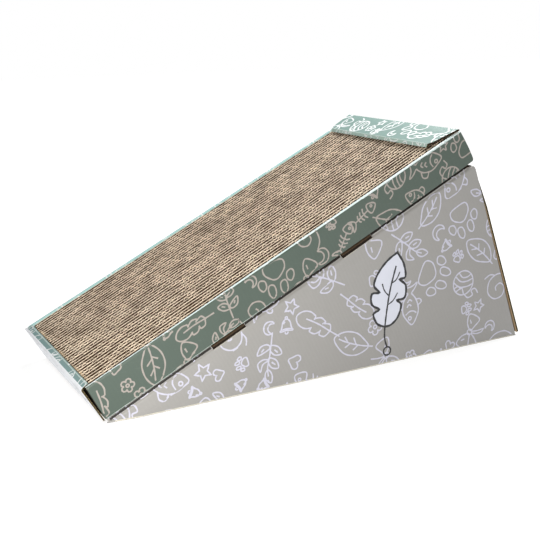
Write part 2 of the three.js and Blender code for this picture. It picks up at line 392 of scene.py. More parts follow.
@dataclass(frozen=True)
class StripPaper:
    """The cut strips of the pad: fuzzy pale cut edges, darkened down inside the cells as painted shade."""

    name: str
    edge: RGB
    fibre: RGB
    cell_shade: RGB
    top: Vector
    normal: Vector
    depth: float
    start: float

    def make(self) -> bpy.types.Material:
        """Builds the material."""
        kit = Kit(self.name)
        # Depth below the strips' top edge; the colour darkens to near black with it: painted shade inside the
        # cells.
        sunk = (kit.along(self.normal, self.top) * -1.0).between(self.start, self.depth)
        fuzz = kit.noise(1100.0, 4.0).between(0.3, 0.75)
        strand = kit.noise(500.0, 4.0, kit.stretched((1.0, 3.0, 1.0))).between(0.35, 0.7)
        patch = kit.noise(55.0, 3.0).between(0.3, 0.75)
        colour = kit.mix(self.edge, self.fibre, fuzz * 0.55 + patch * 0.25)
        colour = kit.mix(colour, self.cell_shade, ((sunk ** 0.8) * 0.95 + strand * 0.08).clamped())
        roughness = (fuzz * 0.06 + 0.88).clamped()
        normal = kit.bump(fuzz, 0.12 * MM, kit.bump(strand, 0.05 * MM))
        return kit.shade(colour, roughness, normal, 0.03)


@dataclass(frozen=True)
class PaleFloor:
    """The studio's white floor, lit from below as a light table is, a little less in the middle."""

    name: str = "studio_floor"
    colour: RGB = (0.3, 0.3, 0.3)
    middle: RGB = (0.79, 0.79, 0.79)
    near: float = 0.38
    far: float = 0.95

    def make(self) -> bpy.types.Material:
        """Builds the material."""
        kit = Kit(self.name)
        cloud = kit.noise(1.5, 2.0)
        dim = tuple(0.99 * part for part in self.colour)
        colour = kit.mix(self.colour, dim, cloud)
        reach = kit.value("ShaderNodeVectorMath", {"operation": "LENGTH"}, {0: kit.place}, "Value")
        shine = kit.mix(self.middle, (1.0, 1.0, 1.0), reach.between(self.near, self.far))
        return kit.shade(colour, 0.9, kit.bump(cloud, 0.01 * MM), 0.1, glow=1.0, shine=shine)


# Frames and meshes


@dataclass(frozen=True)
class Place:
    """A frame in the row frame: an origin and the directions along, across and up."""

    origin: Vector
    along: Vector
    up: Vector

    def at(self, along: float, across: float, up: float) -> Vector:
        """The point at three distances, in metres."""
        return self.origin + self.along * along + Vector((0, across, 0)) + self.up * up

    def turned(self, origin: Vector, angle: float) -> "Place":
        """The frame moved to an origin and turned about Y, with the far end rising."""
        turn = Matrix.Rotation(-angle, 3, "Y")
        return Place(origin, turn @ self.along, turn @ self.up)


@dataclass(frozen=True)
class Sizes:
    """The sizes that the pieces share, in metres, as in the part's own source."""

    half: float = 105 * MM
    base_length: float = 500 * MM
    front_height: float = 5 * MM
    tray_length: float = 470 * MM
    tray_height: float = 39.5 * MM
    board: float = 2.2 * MM
    gap: float = 0.3 * MM
    slope: float = math.radians(25.8)
    back_lean: float = math.radians(19.5)
    tip: float = -240.88 * MM

    @property
    def deck(self) -> Place:
        """The deck's frame: from the tip's top edge up the slope."""
        level = Place(Vector(), Vector((1, 0, 0)), Vector((0, 0, 1)))
        return level.turned(Vector((self.tip, 0, self.front_height)), self.slope)

    @property
    def tray(self) -> Place:
        """The tray's frame: the low end of its underside."""
        deck = self.deck
        return Place(deck.at(-1.5 * MM, 0, self.gap), deck.along, deck.up)

    @property
    def back_top(self) -> Pair:
        """X and Z of the point where the deck line meets the back line."""
        tilt = math.tan(self.slope)
        height = (self.front_height + self.base_length * tilt) / (1 + tilt * math.tan(self.back_lean))
        return self.tip + self.base_length - height * math.tan(self.back_lean), height


SIZES = Sizes()


class Mesher:
    """Collects the faces of one piece and makes its object."""

    def __init__(self) -> None:
        """Starts with no faces."""
        self.points: list[tuple[float, float, float]] = []
        self.faces: list[tuple[int, ...]] = []
        self.slots: list[int] = []
        self.smooth: list[bool] = []

    def add(self, points: Iterable[Vector]) -> list[int]:
        """Adds points and returns their numbers."""
        start = len(self.points)
        self.points.extend(tuple(point) for point in points)
        return list(range(start, len(self.points)))

    def face(self, corners: Sequence[int], slot: int, outward: Vector | None = None,
             smooth: bool = False) -> None:
        """Adds one face.

        Args:
            corners: the numbers of its points.
            slot: the place of its finish.
            outward: the side that it faces, which turns it over if need be.
            smooth: whether it is shaded smooth.
        """
        ring = list(corners)
        if outward is not None:
            a, b, c = (Vector(self.points[ring[k]]) for k in (0, 1, -1))
            if (b - a).cross(c - a).dot(outward) < 0:
                ring.reverse()
        self.faces.append(tuple(ring))
        self.slots.append(slot)
        self.smooth.append(smooth)

    def band(self, first: Sequence[Vector], second: Sequence[Vector], slot: int,
             outward: Vector | None = None, smooth: bool = False) -> None:
        """Joins two rows of points with quads; the arguments are as for face."""
        low, high = self.add(first), self.add(second)
        for k in range(len(low) - 1):
            corners = (low[k], low[k + 1], high[k + 1], high[k])
            self.face(corners, slot, outward, smooth)

    def make(self, name: str, finishes: Sequence[bpy.types.Material], body: str,
             replaced: Sequence[str] = (), slot: str = "") -> bpy.types.Object:
        """Makes the object and lets it ride on its body.

        Args:
            name: the piece's name.
            finishes: its materials, in the order of the faces' slots.
            body: the CAD body that it rides on.
            replaced: the CAD nodes that it stands for.
            slot: not used.

        Returns:
            The object.
        """
        mesh = bpy.data.meshes.new(name)
        mesh.from_pydata(self.points, [], self.faces)
        for finish in finishes:
            mesh.materials.append(finish)
        mesh.polygons.foreach_set("material_index", self.slots)
        mesh.polygons.foreach_set("use_smooth", self.smooth)
        mesh.update()
        made = bpy.data.objects.new(name, mesh)
        bpy.context.scene.collection.objects.link(made)
        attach(made, body)
        if replaced:
            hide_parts(*replaced)
        LOG.info("%s: %d faces on %s", name, len(self.faces), body)
        return made


@dataclass(frozen=True)
class Profile:
    """The line that a board's printed face follows in section, with outward normals.

    Each station holds the distance along the line, the point and the normal, and each
    bend the distances where it starts and ends.
    """

    stations: tuple[tuple[float, Vector, Vector], ...]
    bends: tuple[Pair, ...] = ()

    @classmethod
    def bent(cls, corners: Sequence[Pair], radii: Sequence[float], steps: int = 6) -> "Profile":
        """A line through corners, with rounded bends.

        Args:
            corners: the corners, with the printed face on the left of the way.
            radii: the radius at each inner corner.
            steps: the number of faces round a bend.

        Returns:
            The profile.
        """
        spots = [Vector(corner) for corner in corners]
        marks: list[tuple[Vector, Vector]] = []
        ways = [(b - a).normalized() for a, b in zip(spots, spots[1:])]
        left = [Vector((-way.y, way.x)) for way in ways]
        marks.append((spots[0], left[0]))
        for k, radius in enumerate(radii):
            corner, enter, leave = spots[k + 1], ways[k], ways[k + 1]
            turn = math.atan2(enter.x * leave.y - enter.y * leave.x, enter.dot(leave))
            cut = radius * math.tan(abs(turn) / 2)
            hand = 1.0 if turn > 0 else -1.0
            centre = corner - enter * cut + left[k] * hand * radius
            for step in range(steps + 1):
                normal = left[k].copy()
                normal.rotate(Matrix.Rotation(turn * step / steps, 2))
                marks.append((centre - normal * hand * radius, normal))
        marks.append((spots[-1], left[-1]))
        stations = [(0.0, *marks[0])]
        for before, (point, normal) in zip(marks, marks[1:]):
            length = stations[-1][0] + (point - before[0]).length
            stations.append((length, point, normal))
        count = steps + 1
        bends = tuple((stations[1 + k * count][0], stations[(k + 1) * count][0])
                      for k in range(len(radii)))
        return cls(tuple(stations), bends)

    @property
    def length(self) -> float:
        """The whole length of the line."""
        return self.stations[-1][0]

    def at(self, s: float) -> tuple[Vector, Vector]:
        """The point and normal at a distance along the line."""
        last = self.stations[0]
        for mark in self.stations[1:]:
            if s <= mark[0] or mark is self.stations[-1]:
                span = mark[0] - last[0]
                share = (s - last[0]) / span if span > 1e-9 else 0.0
                return last[1].lerp(mark[1], share), last[2].lerp(mark[2], share).normalized()
            last = mark
        return last[1], last[2]

    def breaks(self, low: float, high: float, step: float) -> list[float]:
        """The distances from low to high where a face row ends, no more than step apart."""
        marks = [low, *(m[0] for m in self.stations if low + 1e-6 < m[0] < high - 1e-6), high]
        rows = [marks[0]]
        for mark in marks[1:]:
            parts = max(1, math.ceil((mark - rows[-1]) / step - 1e-6))
            start = rows[-1]
            rows.extend(start + (mark - start) * part / parts for part in range(1, parts + 1))
        return rows


Limit = Callable[[float], float]


@dataclass
class Board:
    """A panel of corrugated board with a printed face, bent to a profile.

    The panel is laid out flat in two distances, a along the run and s along the
    profile, and a point is sunk by its depth below the printed face.
    """

    frame: Place
    profile: Profile
    run: Run
    side: Side = Side.NEAR
    thickness: float = 2.2 * MM
    paper: float = 0.32 * MM
    recess: float = 0.7 * MM
    wave: float = 4.0 * MM
    flute: Vector = field(default_factory=lambda: Vector((0.0, 1.0)))
    bow: float = 0.0
    seed: int = 1
    grounded: bool = False
    tuck: Callable[[float, float], float] | None = None
    mesher: Mesher = field(default_factory=Mesher)
    spans: list[tuple[float, float, list[tuple[Limit, Limit]]]] = field(default_factory=list)

    def point(self, a: float, s: float, depth: float = 0.0) -> Vector:
        """The place of a point of the panel in the row frame."""
        spot, normal = self.profile.at(s)
        sink = depth
        if self.bow:
            where = Vector((a * 9.0, s * 14.0, self.seed * 3.7))
            sink += self.bow * (0.5 + 0.5 * noise.noise(where))
        if self.tuck:
            sink += self.tuck(a, s)
        spot = spot - normal * sink
        if self.run is Run.ALONG:
            place = self.frame.at(a, -self.side.value * spot.x, spot.y)
        else:
            place = self.frame.at(spot.x, a, spot.y)
        if self.grounded:
            place.z = max(0.0, place.z)
        return place

    def outward(self, a: float, s: float) -> Vector:
        """The direction out of the printed face."""
        return self.point(a, s, -MM) - self.point(a, s, 0.0)

    def panel(self, low: float, high: float, spans: list[tuple[Limit, Limit]],
              slot: Callable[[float, float], Face] | None = None, step: float = 10 * MM) -> None:
        """Lays both papers of a band of the panel.

        Args:
            low: where the band starts along the profile.
            high: where it ends.
            spans: the runs of board in it, each as two limits of a for a given s.
            slot: the finish of the printed face at a given a and s.
            step: the longest side of a face.
        """
        self.spans.append((low, high, spans))
        rows = self.profile.breaks(low, high, step)
        for start, end in spans:
            width = max(end(s) - start(s) for s in rows)
            count = max(1, math.ceil(width / step))
            shares = [k / count for k in range(count + 1)]
            for depth in (0.0, self.thickness):
                ids = []
                for s in rows:
                    reach = end(s) - start(s)
                    ids.append(self.mesher.add(
                        self.point(start(s) + reach * share, s, depth) for share in shares))
                for k in range(len(rows) - 1):
                    middle = (rows[k] + rows[k + 1]) / 2
                    toward = self.outward(start(middle) + (end(middle) - start(middle)) / 2, middle)
                    if depth:
                        toward = -toward
                    for j in range(count):
                        corners = (ids[k][j], ids[k][j + 1], ids[k + 1][j + 1], ids[k + 1][j])
                        face = Face.LINER if depth else Face.PRINT
                        if slot and not depth:
                            a = start(middle) + (end(middle) - start(middle)) * (j + 0.5) / count
                            face = slot(a, middle)
                        self.mesher.face(corners, face.value, toward, True)

    def edge(self, path: Sequence[Pair], fine: float = 0.5 * MM) -> None:
        """Cuts a raw edge along a path, with the board on its left.

        Args:
            path: the corners of the edge, as a and s.
            fine: the length of a face of the wavy paper.
        """
        line = self._dense(path, 4 * MM)
        inward = _lefts(line)
        t, paper, recess = self.thickness, self.paper, self.recess
        # The hollow faces, with the back wall at the recess, take the near-black hollow finish: painted shade
        # inside the flutes.
        for (r1, d1), (r2, d2), face in (
            ((0.0, 0.0), (0.0, paper), Face.CUT),
            ((0.0, paper), (recess, paper), Face.HOLLOW),
            ((recess, paper), (recess, t - paper), Face.HOLLOW),
            ((recess, t - paper), (0.0, t - paper), Face.HOLLOW),
            ((0.0, t - paper), (0.0, t), Face.CUT),
        ):
            rows = [[self.point(p[0] + n[0] * r, p[1] + n[1] * r, d) for p, n in zip(line, inward)]
                    for r, d in ((r1, d1), (r2, d2))]
            self.mesher.band(rows[0], rows[1], face.value)
        self._medium(path, fine)

    def _medium(self, path: Sequence[Pair], fine: float) -> None:
        """Lays the wavy middle paper along an edge; the arguments are as for edge."""
        line = self._dense(path, fine)
        inward = _lefts(line)
        lean = random.Random(self.seed).random() * 6.3
        swing = self.thickness / 2 - self.paper - 0.12 * MM
        rows: list[list[Vector]] = [[], [], [], []]
        travel = lean
        for k, (spot, into) in enumerate(zip(line, inward)):
            ahead = line[min(k + 1, len(line) - 1)]
            behind = line[max(k - 1, 0)]
            way = Vector((ahead[0] - behind[0], ahead[1] - behind[1])).normalized()
            across = max(0.1, abs(way.x * self.flute.y - way.y * self.flute.x))
            if k:
                step = math.hypot(spot[0] - line[k - 1][0], spot[1] - line[k - 1][1])
                travel += step * across * 2 * math.pi / self.wave
            middle = self.thickness / 2 + swing * math.sin(travel)
            steep = swing * math.cos(travel) * across * 2 * math.pi / self.wave
            thick = 0.13 * MM * math.hypot(1.0, steep)
            for row, (r, d) in zip(rows, ((self.recess, middle - thick), (0.06 * MM, middle - thick),
                                          (0.06 * MM, middle + thick), (self.recess, middle + thick))):
                row.append(self.point(spot[0] + into[0] * r, spot[1] + into[1] * r, d))
        for first, second in zip(rows, rows[1:]):
            self.mesher.band(first, second, Face.CUT.value)

    def _dense(self, path: Sequence[Pair], step: float) -> list[Pair]:
        """The path with points no more than step apart, and at each bend of the profile."""
        line = [path[0]]
        for (a1, s1), (a2, s2) in zip(path, path[1:]):
            shares = {0.0, 1.0}
            parts = max(1, math.ceil(math.hypot(a2 - a1, s2 - s1) / step))
            shares.update(part / parts for part in range(parts + 1))
            if abs(s2 - s1) > 1e-9:
                shares.update((m[0] - s1) / (s2 - s1) for m in self.profile.stations
                              if min(s1, s2) < m[0] < max(s1, s2))
            for share in sorted(shares)[1:]:
                spot = (a1 + (a2 - a1) * share, s1 + (s2 - s1) * share)
                if math.hypot(spot[0] - line[-1][0], spot[1] - line[-1][1]) > 1e-6:
                    line.append(spot)
        return line

    def held(self, a: float, s: float) -> Pair | None:
        """The nearest point of the panel in the same row, or None where none is near."""
        for low, high, spans in self.spans:
            if low - MM <= s <= high + MM:
                row = min(max(s, low), high)
                for start, end in spans:
                    if start(row) - 1.2 * MM <= a <= end(row) + 1.2 * MM:
                        return min(max(a, start(row)), end(row)), row
        return None

    def covers(self, a: float, s: float) -> bool:
        """Whether the panel has board at this place."""
        return any(low <= s <= high and any(start(s) <= a <= end(s) for start, end in spans)
                   for low, high, spans in self.spans)


def _lefts(line: Sequence[Pair]) -> list[Pair]:
    """The direction to the left of a line at each of its points, long enough to mitre."""
    found = []
    for k, spot in enumerate(line):
        normals = []
        for first, second in ((k - 1, k), (k, k + 1)):
            if first >= 0 and second < len(line):
                x = line[second][0] - line[first][0]
                y = line[second][1] - line[first][1]
                length = math.hypot(x, y)
                if length > 1e-9:
                    normals.append((-y / length, x / length))
        x = sum(n[0] for n in normals) / max(1, len(normals))
        y = sum(n[1] for n in normals) / max(1, len(normals))
        square = max(0.25, x * x + y * y)
        found.append((x / square, y / square))
    return found


def constant(value: float) -> Limit:
    """A limit that is the same for every s."""
    return lambda s: value


# Print


def circle(x: float, y: float, radius: float, start: float = 0.0, turn: float = 360.0,
           flat: float = 1.0) -> Stroke:
    """A circle or an arc as a stroke.

    Args:
        x: the centre's first distance.
        y: the centre's second distance.
        radius: the radius.
        start: the first angle in degrees.
        turn: how far round it goes in degrees.
        flat: the height as a share of the width.

    Returns:
        The stroke.
    """
    whole = abs(turn) >= 360.0
    count = max(5, int(abs(turn) / 30.0))
    angles = [math.radians(start + turn * k / count) for k in range(count + (0 if whole else 1))]
    points = tuple((x + radius * math.cos(t), y + radius * flat * math.sin(t)) for t in angles)
    return whole, True, points


def curve(*points: Pair) -> Stroke:
    """An open smooth stroke."""
    return False, True, points


def loop(*points: Pair) -> Stroke:
    """A closed smooth stroke."""
    return True, True, points


def sharp(*points: Pair) -> Stroke:
    """An open stroke with sharp corners."""
    return False, False, points


class Motif(Enum):
    """The forms of the print, each drawn in a circle of radius 1."""

    PAW = (
        loop((0.0, -0.75), (0.48, -0.68), (0.52, -0.3), (0.22, 0.02), (0.0, 0.1), (-0.22, 0.02),
             (-0.52, -0.3), (-0.48, -0.68)),
        loop((-0.78, -0.1), (-0.56, 0.0), (-0.54, 0.28), (-0.72, 0.42), (-0.88, 0.24), (-0.9, 0.02)),
        loop((-0.36, 0.26), (-0.16, 0.36), (-0.14, 0.7), (-0.3, 0.88), (-0.46, 0.72), (-0.48, 0.4)),
        loop((0.36, 0.26), (0.16, 0.36), (0.14, 0.7), (0.3, 0.88), (0.46, 0.72), (0.48, 0.4)),
        loop((0.78, -0.1), (0.56, 0.0), (0.54, 0.28), (0.72, 0.42), (0.88, 0.24), (0.9, 0.02)),
    )
    FISH = (
        curve((0.55, 0.1), (0.2, 0.38), (-0.3, 0.44), (-0.72, 0.22), (-0.95, -0.02), (-0.7, -0.26),
              (-0.3, -0.42), (0.2, -0.32), (0.55, -0.08)),
        curve((0.55, 0.1), (0.76, 0.34), (0.97, 0.44), (0.86, 0.18), (0.84, 0.0), (0.88, -0.2),
              (0.98, -0.42), (0.76, -0.3), (0.55, -0.08)),
        circle(-0.62, 0.08, 0.08),
        curve((-0.42, 0.3), (-0.3, 0.08), (-0.32, -0.14), (-0.44, -0.3)),
        curve((-0.14, 0.42), (0.0, 0.68), (0.24, 0.62), (0.3, 0.34)),
        curve((-0.1, -0.38), (0.02, -0.6), (0.18, -0.52), (0.2, -0.33)),
        curve((-0.08, 0.2), (0.04, 0.08), (-0.06, -0.04)),
        curve((0.14, 0.16), (0.26, 0.04), (0.16, -0.1)),
    )
    BONES = (
        loop((-0.5, 0.3), (-0.8, 0.2), (-0.98, -0.02), (-0.78, -0.22), (-0.5, -0.3), (-0.4, 0.0)),
        circle(-0.7, 0.06, 0.06),
        sharp((-0.4, 0.0), (0.6, 0.0)),
        curve((-0.18, 0.34), (-0.08, 0.14), (-0.1, 0.0), (-0.08, -0.14), (-0.18, -0.34)),
        curve((0.06, 0.3), (0.15, 0.12), (0.13, 0.0), (0.15, -0.12), (0.06, -0.3)),
        curve((0.28, 0.24), (0.36, 0.1), (0.34, 0.0), (0.36, -0.1), (0.28, -0.24)),
        loop((0.6, 0.02), (0.78, 0.26), (0.98, 0.34), (0.86, 0.0), (0.98, -0.34), (0.78, -0.26)),
    )
    SPRIG = (
        curve((-0.9, -0.55), (-0.45, -0.28), (0.05, 0.0), (0.5, 0.22), (0.8, 0.5)),
        loop((0.56, 0.3), (0.66, 0.62), (0.96, 0.8), (0.98, 0.5), (0.8, 0.3)),
        loop((0.1, 0.03), (0.02, 0.4), (0.24, 0.7), (0.4, 0.42), (0.3, 0.12)),
        loop((0.2, 0.06), (0.5, -0.08), (0.82, 0.02), (0.62, -0.3), (0.32, -0.2)),
        loop((-0.38, -0.26), (-0.52, 0.1), (-0.36, 0.44), (-0.14, 0.2), (-0.18, -0.12)),
        loop((-0.3, -0.22), (0.02, -0.34), (0.3, -0.56), (-0.06, -0.66), (-0.32, -0.46)),
        curve((-0.3, 0.24), (-0.32, 0.02)), curve((0.2, 0.48), (0.2, 0.24)),
        curve((-0.1, -0.46), (0.08, -0.48)),
    )
    YARN = (
        circle(-0.12, 0.08, 0.62),
        curve((-0.66, 0.3), (-0.3, 0.12), (0.1, 0.2), (0.42, 0.4)),
        curve((-0.72, 0.0), (-0.3, -0.16), (0.18, -0.06), (0.5, 0.14)),
        curve((-0.52, 0.52), (-0.24, 0.34), (0.06, 0.42), (0.22, 0.58)),
        curve((-0.44, -0.42), (-0.16, -0.2), (-0.04, -0.3), (0.08, -0.5)),
        curve((-0.6, -0.28), (-0.38, -0.14), (-0.2, -0.28)),
        curve((0.12, -0.48), (0.4, -0.62), (0.66, -0.44), (0.52, -0.24), (0.72, -0.1), (0.98, -0.3)),
    )
    HEART = (
        loop((0.0, -0.82), (0.46, -0.36), (0.82, 0.1), (0.74, 0.52), (0.4, 0.66), (0.08, 0.44),
             (0.0, 0.3), (-0.08, 0.44), (-0.4, 0.66), (-0.74, 0.52), (-0.82, 0.1), (-0.46, -0.36)),
    )
    MOON = (
        curve((0.42, 0.82), (0.02, 0.92), (-0.5, 0.7), (-0.82, 0.2), (-0.74, -0.4), (-0.3, -0.82),
              (0.28, -0.86), (0.7, -0.56)),
        curve((0.7, -0.56), (0.2, -0.5), (-0.16, -0.2), (-0.24, 0.22), (-0.04, 0.58), (0.42, 0.82)),
    )
    STAR = (
        (True, False, tuple((r * math.sin(k * math.pi / 5), r * math.cos(k * math.pi / 5))
                            for k, r in enumerate((0.9, 0.42) * 5))),
    )
    FEATHER = (
        curve((-0.98, -0.5), (-0.5, -0.26), (0.1, 0.02), (0.62, 0.34)),
        curve((-0.5, -0.24), (-0.52, 0.06), (-0.3, 0.22)), curve((-0.3, 0.22), (-0.18, 0.06)),
        curve((-0.22, 0.1), (-0.14, 0.36), (0.1, 0.5)), curve((0.1, 0.5), (0.18, 0.32)),
        curve((0.16, 0.36), (0.36, 0.62), (0.7, 0.74), (0.98, 0.62), (0.96, 0.3), (0.74, 0.04),
              (0.44, -0.06)),
        curve((0.44, -0.06), (0.36, 0.08)),
        curve((0.38, 0.02), (0.22, -0.22), (-0.06, -0.3)), curve((-0.06, -0.3), (-0.02, -0.12)),
        curve((-0.06, -0.2), (-0.28, -0.4), (-0.52, -0.26)),
    )
    BELL = (
        curve((-0.62, -0.4), (-0.5, -0.1), (-0.42, 0.3), (-0.2, 0.6), (0.0, 0.66), (0.2, 0.6),
              (0.42, 0.3), (0.5, -0.1), (0.62, -0.4)),
        loop((-0.62, -0.4), (0.0, -0.3), (0.62, -0.4), (0.6, -0.54), (0.0, -0.46), (-0.6, -0.54)),
        circle(0.0, -0.66, 0.15, 160, 220), circle(0.0, 0.78, 0.12),
        curve((-0.3, 0.2), (-0.24, 0.34), (-0.14, 0.44)),
    )
    FLOWER = (
        circle(0.0, 0.0, 0.2),
        *(circle(0.56 * math.cos(k * 1.2566), 0.56 * math.sin(k * 1.2566), 0.33,
                 math.degrees(k * 1.2566) - 125, 250) for k in range(5)),
    )
    BOW = (
        loop((-0.12, 0.08), (-0.4, 0.4), (-0.84, 0.5), (-0.92, 0.02), (-0.8, -0.3), (-0.38, -0.16),
             (-0.12, -0.06)),
        loop((0.12, 0.08), (0.4, 0.4), (0.84, 0.5), (0.92, 0.02), (0.8, -0.3), (0.38, -0.16),
             (0.12, -0.06)),
        circle(0.0, 0.0, 0.15),
        curve((-0.08, -0.12), (-0.24, -0.46), (-0.5, -0.82)), sharp((-0.5, -0.82), (-0.28, -0.78)),
        curve((-0.28, -0.78), (-0.08, -0.5), (0.0, -0.16)),
        curve((0.04, -0.14), (0.2, -0.5), (0.44, -0.84)),
        curve((-0.6, 0.3), (-0.44, 0.12)), curve((0.6, 0.3), (0.44, 0.12)),
    )
    SWIRL = (
        curve((-0.9, -0.3), (-0.5, -0.62), (0.1, -0.66), (0.6, -0.34), (0.7, 0.18), (0.36, 0.56),
              (-0.12, 0.5), (-0.34, 0.12), (-0.14, -0.2), (0.18, -0.16), (0.24, 0.1), (0.08, 0.2)),
        curve((0.66, -0.2), (0.9, -0.02), (0.98, 0.3)),
    )
    LEAF = (
        loop((-0.8, -0.4), (-0.6, 0.2), (-0.1, 0.56), (0.5, 0.58), (0.92, 0.4), (0.7, -0.1),
             (0.2, -0.44), (-0.3, -0.5)),
        curve((-0.98, -0.56), (-0.4, -0.18), (0.2, 0.12), (0.7, 0.3)),
        curve((-0.3, -0.14), (-0.26, 0.2)), curve((0.08, 0.06), (0.16, 0.38)),
        curve((-0.2, -0.08), (0.14, -0.22)), curve((0.2, 0.12), (0.54, 0.04)),
    )


LARGE = (Motif.FISH, Motif.SPRIG, Motif.FEATHER, Motif.BONES, Motif.BOW, Motif.LEAF, Motif.YARN,
         Motif.PAW, Motif.SWIRL)
SMALL = (Motif.HEART, Motif.STAR, Motif.MOON, Motif.BELL, Motif.FLOWER, Motif.PAW)


def smoothed(points: Sequence[Pair], closed: bool, parts: int = 6) -> list[Pair]:
    """A smooth line through points.

    Args:
        points: the points that it passes.
        closed: whether it comes back to its start.
        parts: the number of steps between two points.

    Returns:
        The finer line, with its first point repeated at the end if it is closed.
    """
    count = len(points)
    fine: list[Pair] = []
    for k in range(count if closed else count - 1):
        quad = []
        for j in (k - 1, k, k + 1, k + 2):
            quad.append(points[j % count] if closed else points[min(max(j, 0), count - 1)])
        for part in range(parts):
            t = part / parts
            weights = (-t + 2 * t * t - t ** 3, 2 - 5 * t * t + 3 * t ** 3,
                       t + 4 * t * t - 3 * t ** 3, t ** 3 - t * t)
            fine.append(tuple(0.5 * sum(w * p[axis] for w, p in zip(weights, quad))
                              for axis in (0, 1)))
    fine.append(fine[0] if closed else points[-1])
    return fine


@dataclass
class Press:
    """Prints motifs on one board, as thin ribbons on its printed face."""

    board: Board
    line_width: float = 1.5 * MM
    lift: float = 0.05 * MM
    seed: int = 3
    ink: Callable[[float, float], int] | None = None
    mesher: Mesher = field(default_factory=Mesher)

    def ribbon(self, line: Sequence[Pair], width: float, slot: int, lift: float) -> None:
        """Lays one ribbon.

        Args:
            line: its middle line, as a and s.
            width: its width.
            slot: the place of its finish.
            lift: how far it stands off the paper.
        """
        if len(line) < 2:
            return
        sides = _lefts(line)
        rows: list[list[Vector]] = [[], []]
        chance = random.Random(len(self.mesher.points))
        phase, layer = chance.random() * 6.0, chance.random() * 0.03 * MM
        for k, (spot, left) in enumerate(zip(line, sides)):
            half = width * (0.5 + 0.06 * math.sin(phase + k * 0.7))
            for row, hand in zip(rows, (1, -1)):
                a, s = spot[0] + left[0] * half * hand, spot[1] + left[1] * half * hand
                kept = self.board.held(a, s) or spot
                row.append(self.board.point(kept[0], kept[1], -lift - layer))
        toward = self.board.outward(*line[len(line) // 2])
        self.mesher.band(rows[0], rows[1], slot, toward)

    def line(self, points: Sequence[Pair], width: float | None = None, slot: int = 0,
             lift: float | None = None) -> None:
        """Lays a ribbon along points, cut off where the board ends; see ribbon."""
        dense: list[Pair] = [points[0]]
        for (a1, s1), (a2, s2) in zip(points, points[1:]):
            parts = max(1, math.ceil(math.hypot(a2 - a1, s2 - s1) / (1.3 * MM)))
            dense.extend((a1 + (a2 - a1) * p / parts, s1 + (s2 - s1) * p / parts)
                         for p in range(1, parts + 1))
        part: list[Pair] = []
        for spot in dense:
            shown = self.board.covers(*spot)
            ink = self.ink(*spot) if self.ink else slot
            if shown:
                part.append(spot)
            if not shown or ink != slot:
                self.ribbon(part, width or self.line_width, slot, lift or self.lift)
                part = [spot] if shown else []
                slot = ink
        self.ribbon(part, width or self.line_width, slot, lift or self.lift)

    def motif(self, form: Motif, centre: Pair, radius: float, turn: float,
              flip: bool = False) -> None:
        """Prints one motif.

        Args:
            form: the motif.
            centre: its centre, as a and s.
            radius: its radius.
            turn: its turn in radians.
            flip: whether it is mirrored.
        """
        for closed, smooth, points in form.value:
            path = smoothed(points, closed) if smooth else [*points, *(points[:1] if closed else ())]
            placed = []
            for x, y in path:
                x = -x if flip else x
                placed.append((centre[0] + radius * (x * math.cos(turn) - y * math.sin(turn)),
                               centre[1] + radius * (x * math.sin(turn) + y * math.cos(turn))))
            self.line(placed)

    def scatter(self, low: Pair, high: Pair, keep_out: Sequence[tuple[Pair, float]] = (),
                sizes: tuple[Pair, Pair] = ((21 * MM, 27 * MM), (7.5 * MM, 11 * MM)),
                tries: int = 1500) -> None:
        """Fills a field with large motifs, and small ones in the spaces left.

        Args:
            low: the least a and s of the field.
            high: the greatest a and s.
            keep_out: circles that stay bare, each as its centre and radius.
            sizes: the least and greatest radius of the large and the small motifs.
            tries: the number of places tried for each kind.
        """
        chance = random.Random(self.seed)
        taken: list[tuple[float, float, float]] = [(c[0], c[1], r) for c, r in keep_out]
        for kinds, (least, most), spacing in ((LARGE, sizes[0], 0.82), (SMALL, sizes[1], 0.92)):
            order: list[Motif] = []
            for _ in range(tries):
                a = chance.uniform(low[0], high[0])
                s = chance.uniform(low[1], high[1])
                radius = chance.uniform(least, most)
                turn = chance.uniform(0, 2 * math.pi)
                flip = chance.random() < 0.5
                if any(math.hypot(a - x, s - y) < (radius + r) * spacing for x, y, r in taken):
                    continue
                if not order:
                    order = chance.sample(kinds, len(kinds))
                taken.append((a, s, radius))
                self.motif(order.pop(), (a, s), radius, turn, flip)

    def make(self, name: str, inks: Sequence[bpy.types.Material], body: str,
             slot: str) -> bpy.types.Object:
        """Makes the print's object; the arguments are as for Mesher.make."""
        return self.mesher.make(name, inks, body, (), slot)


# Finishes


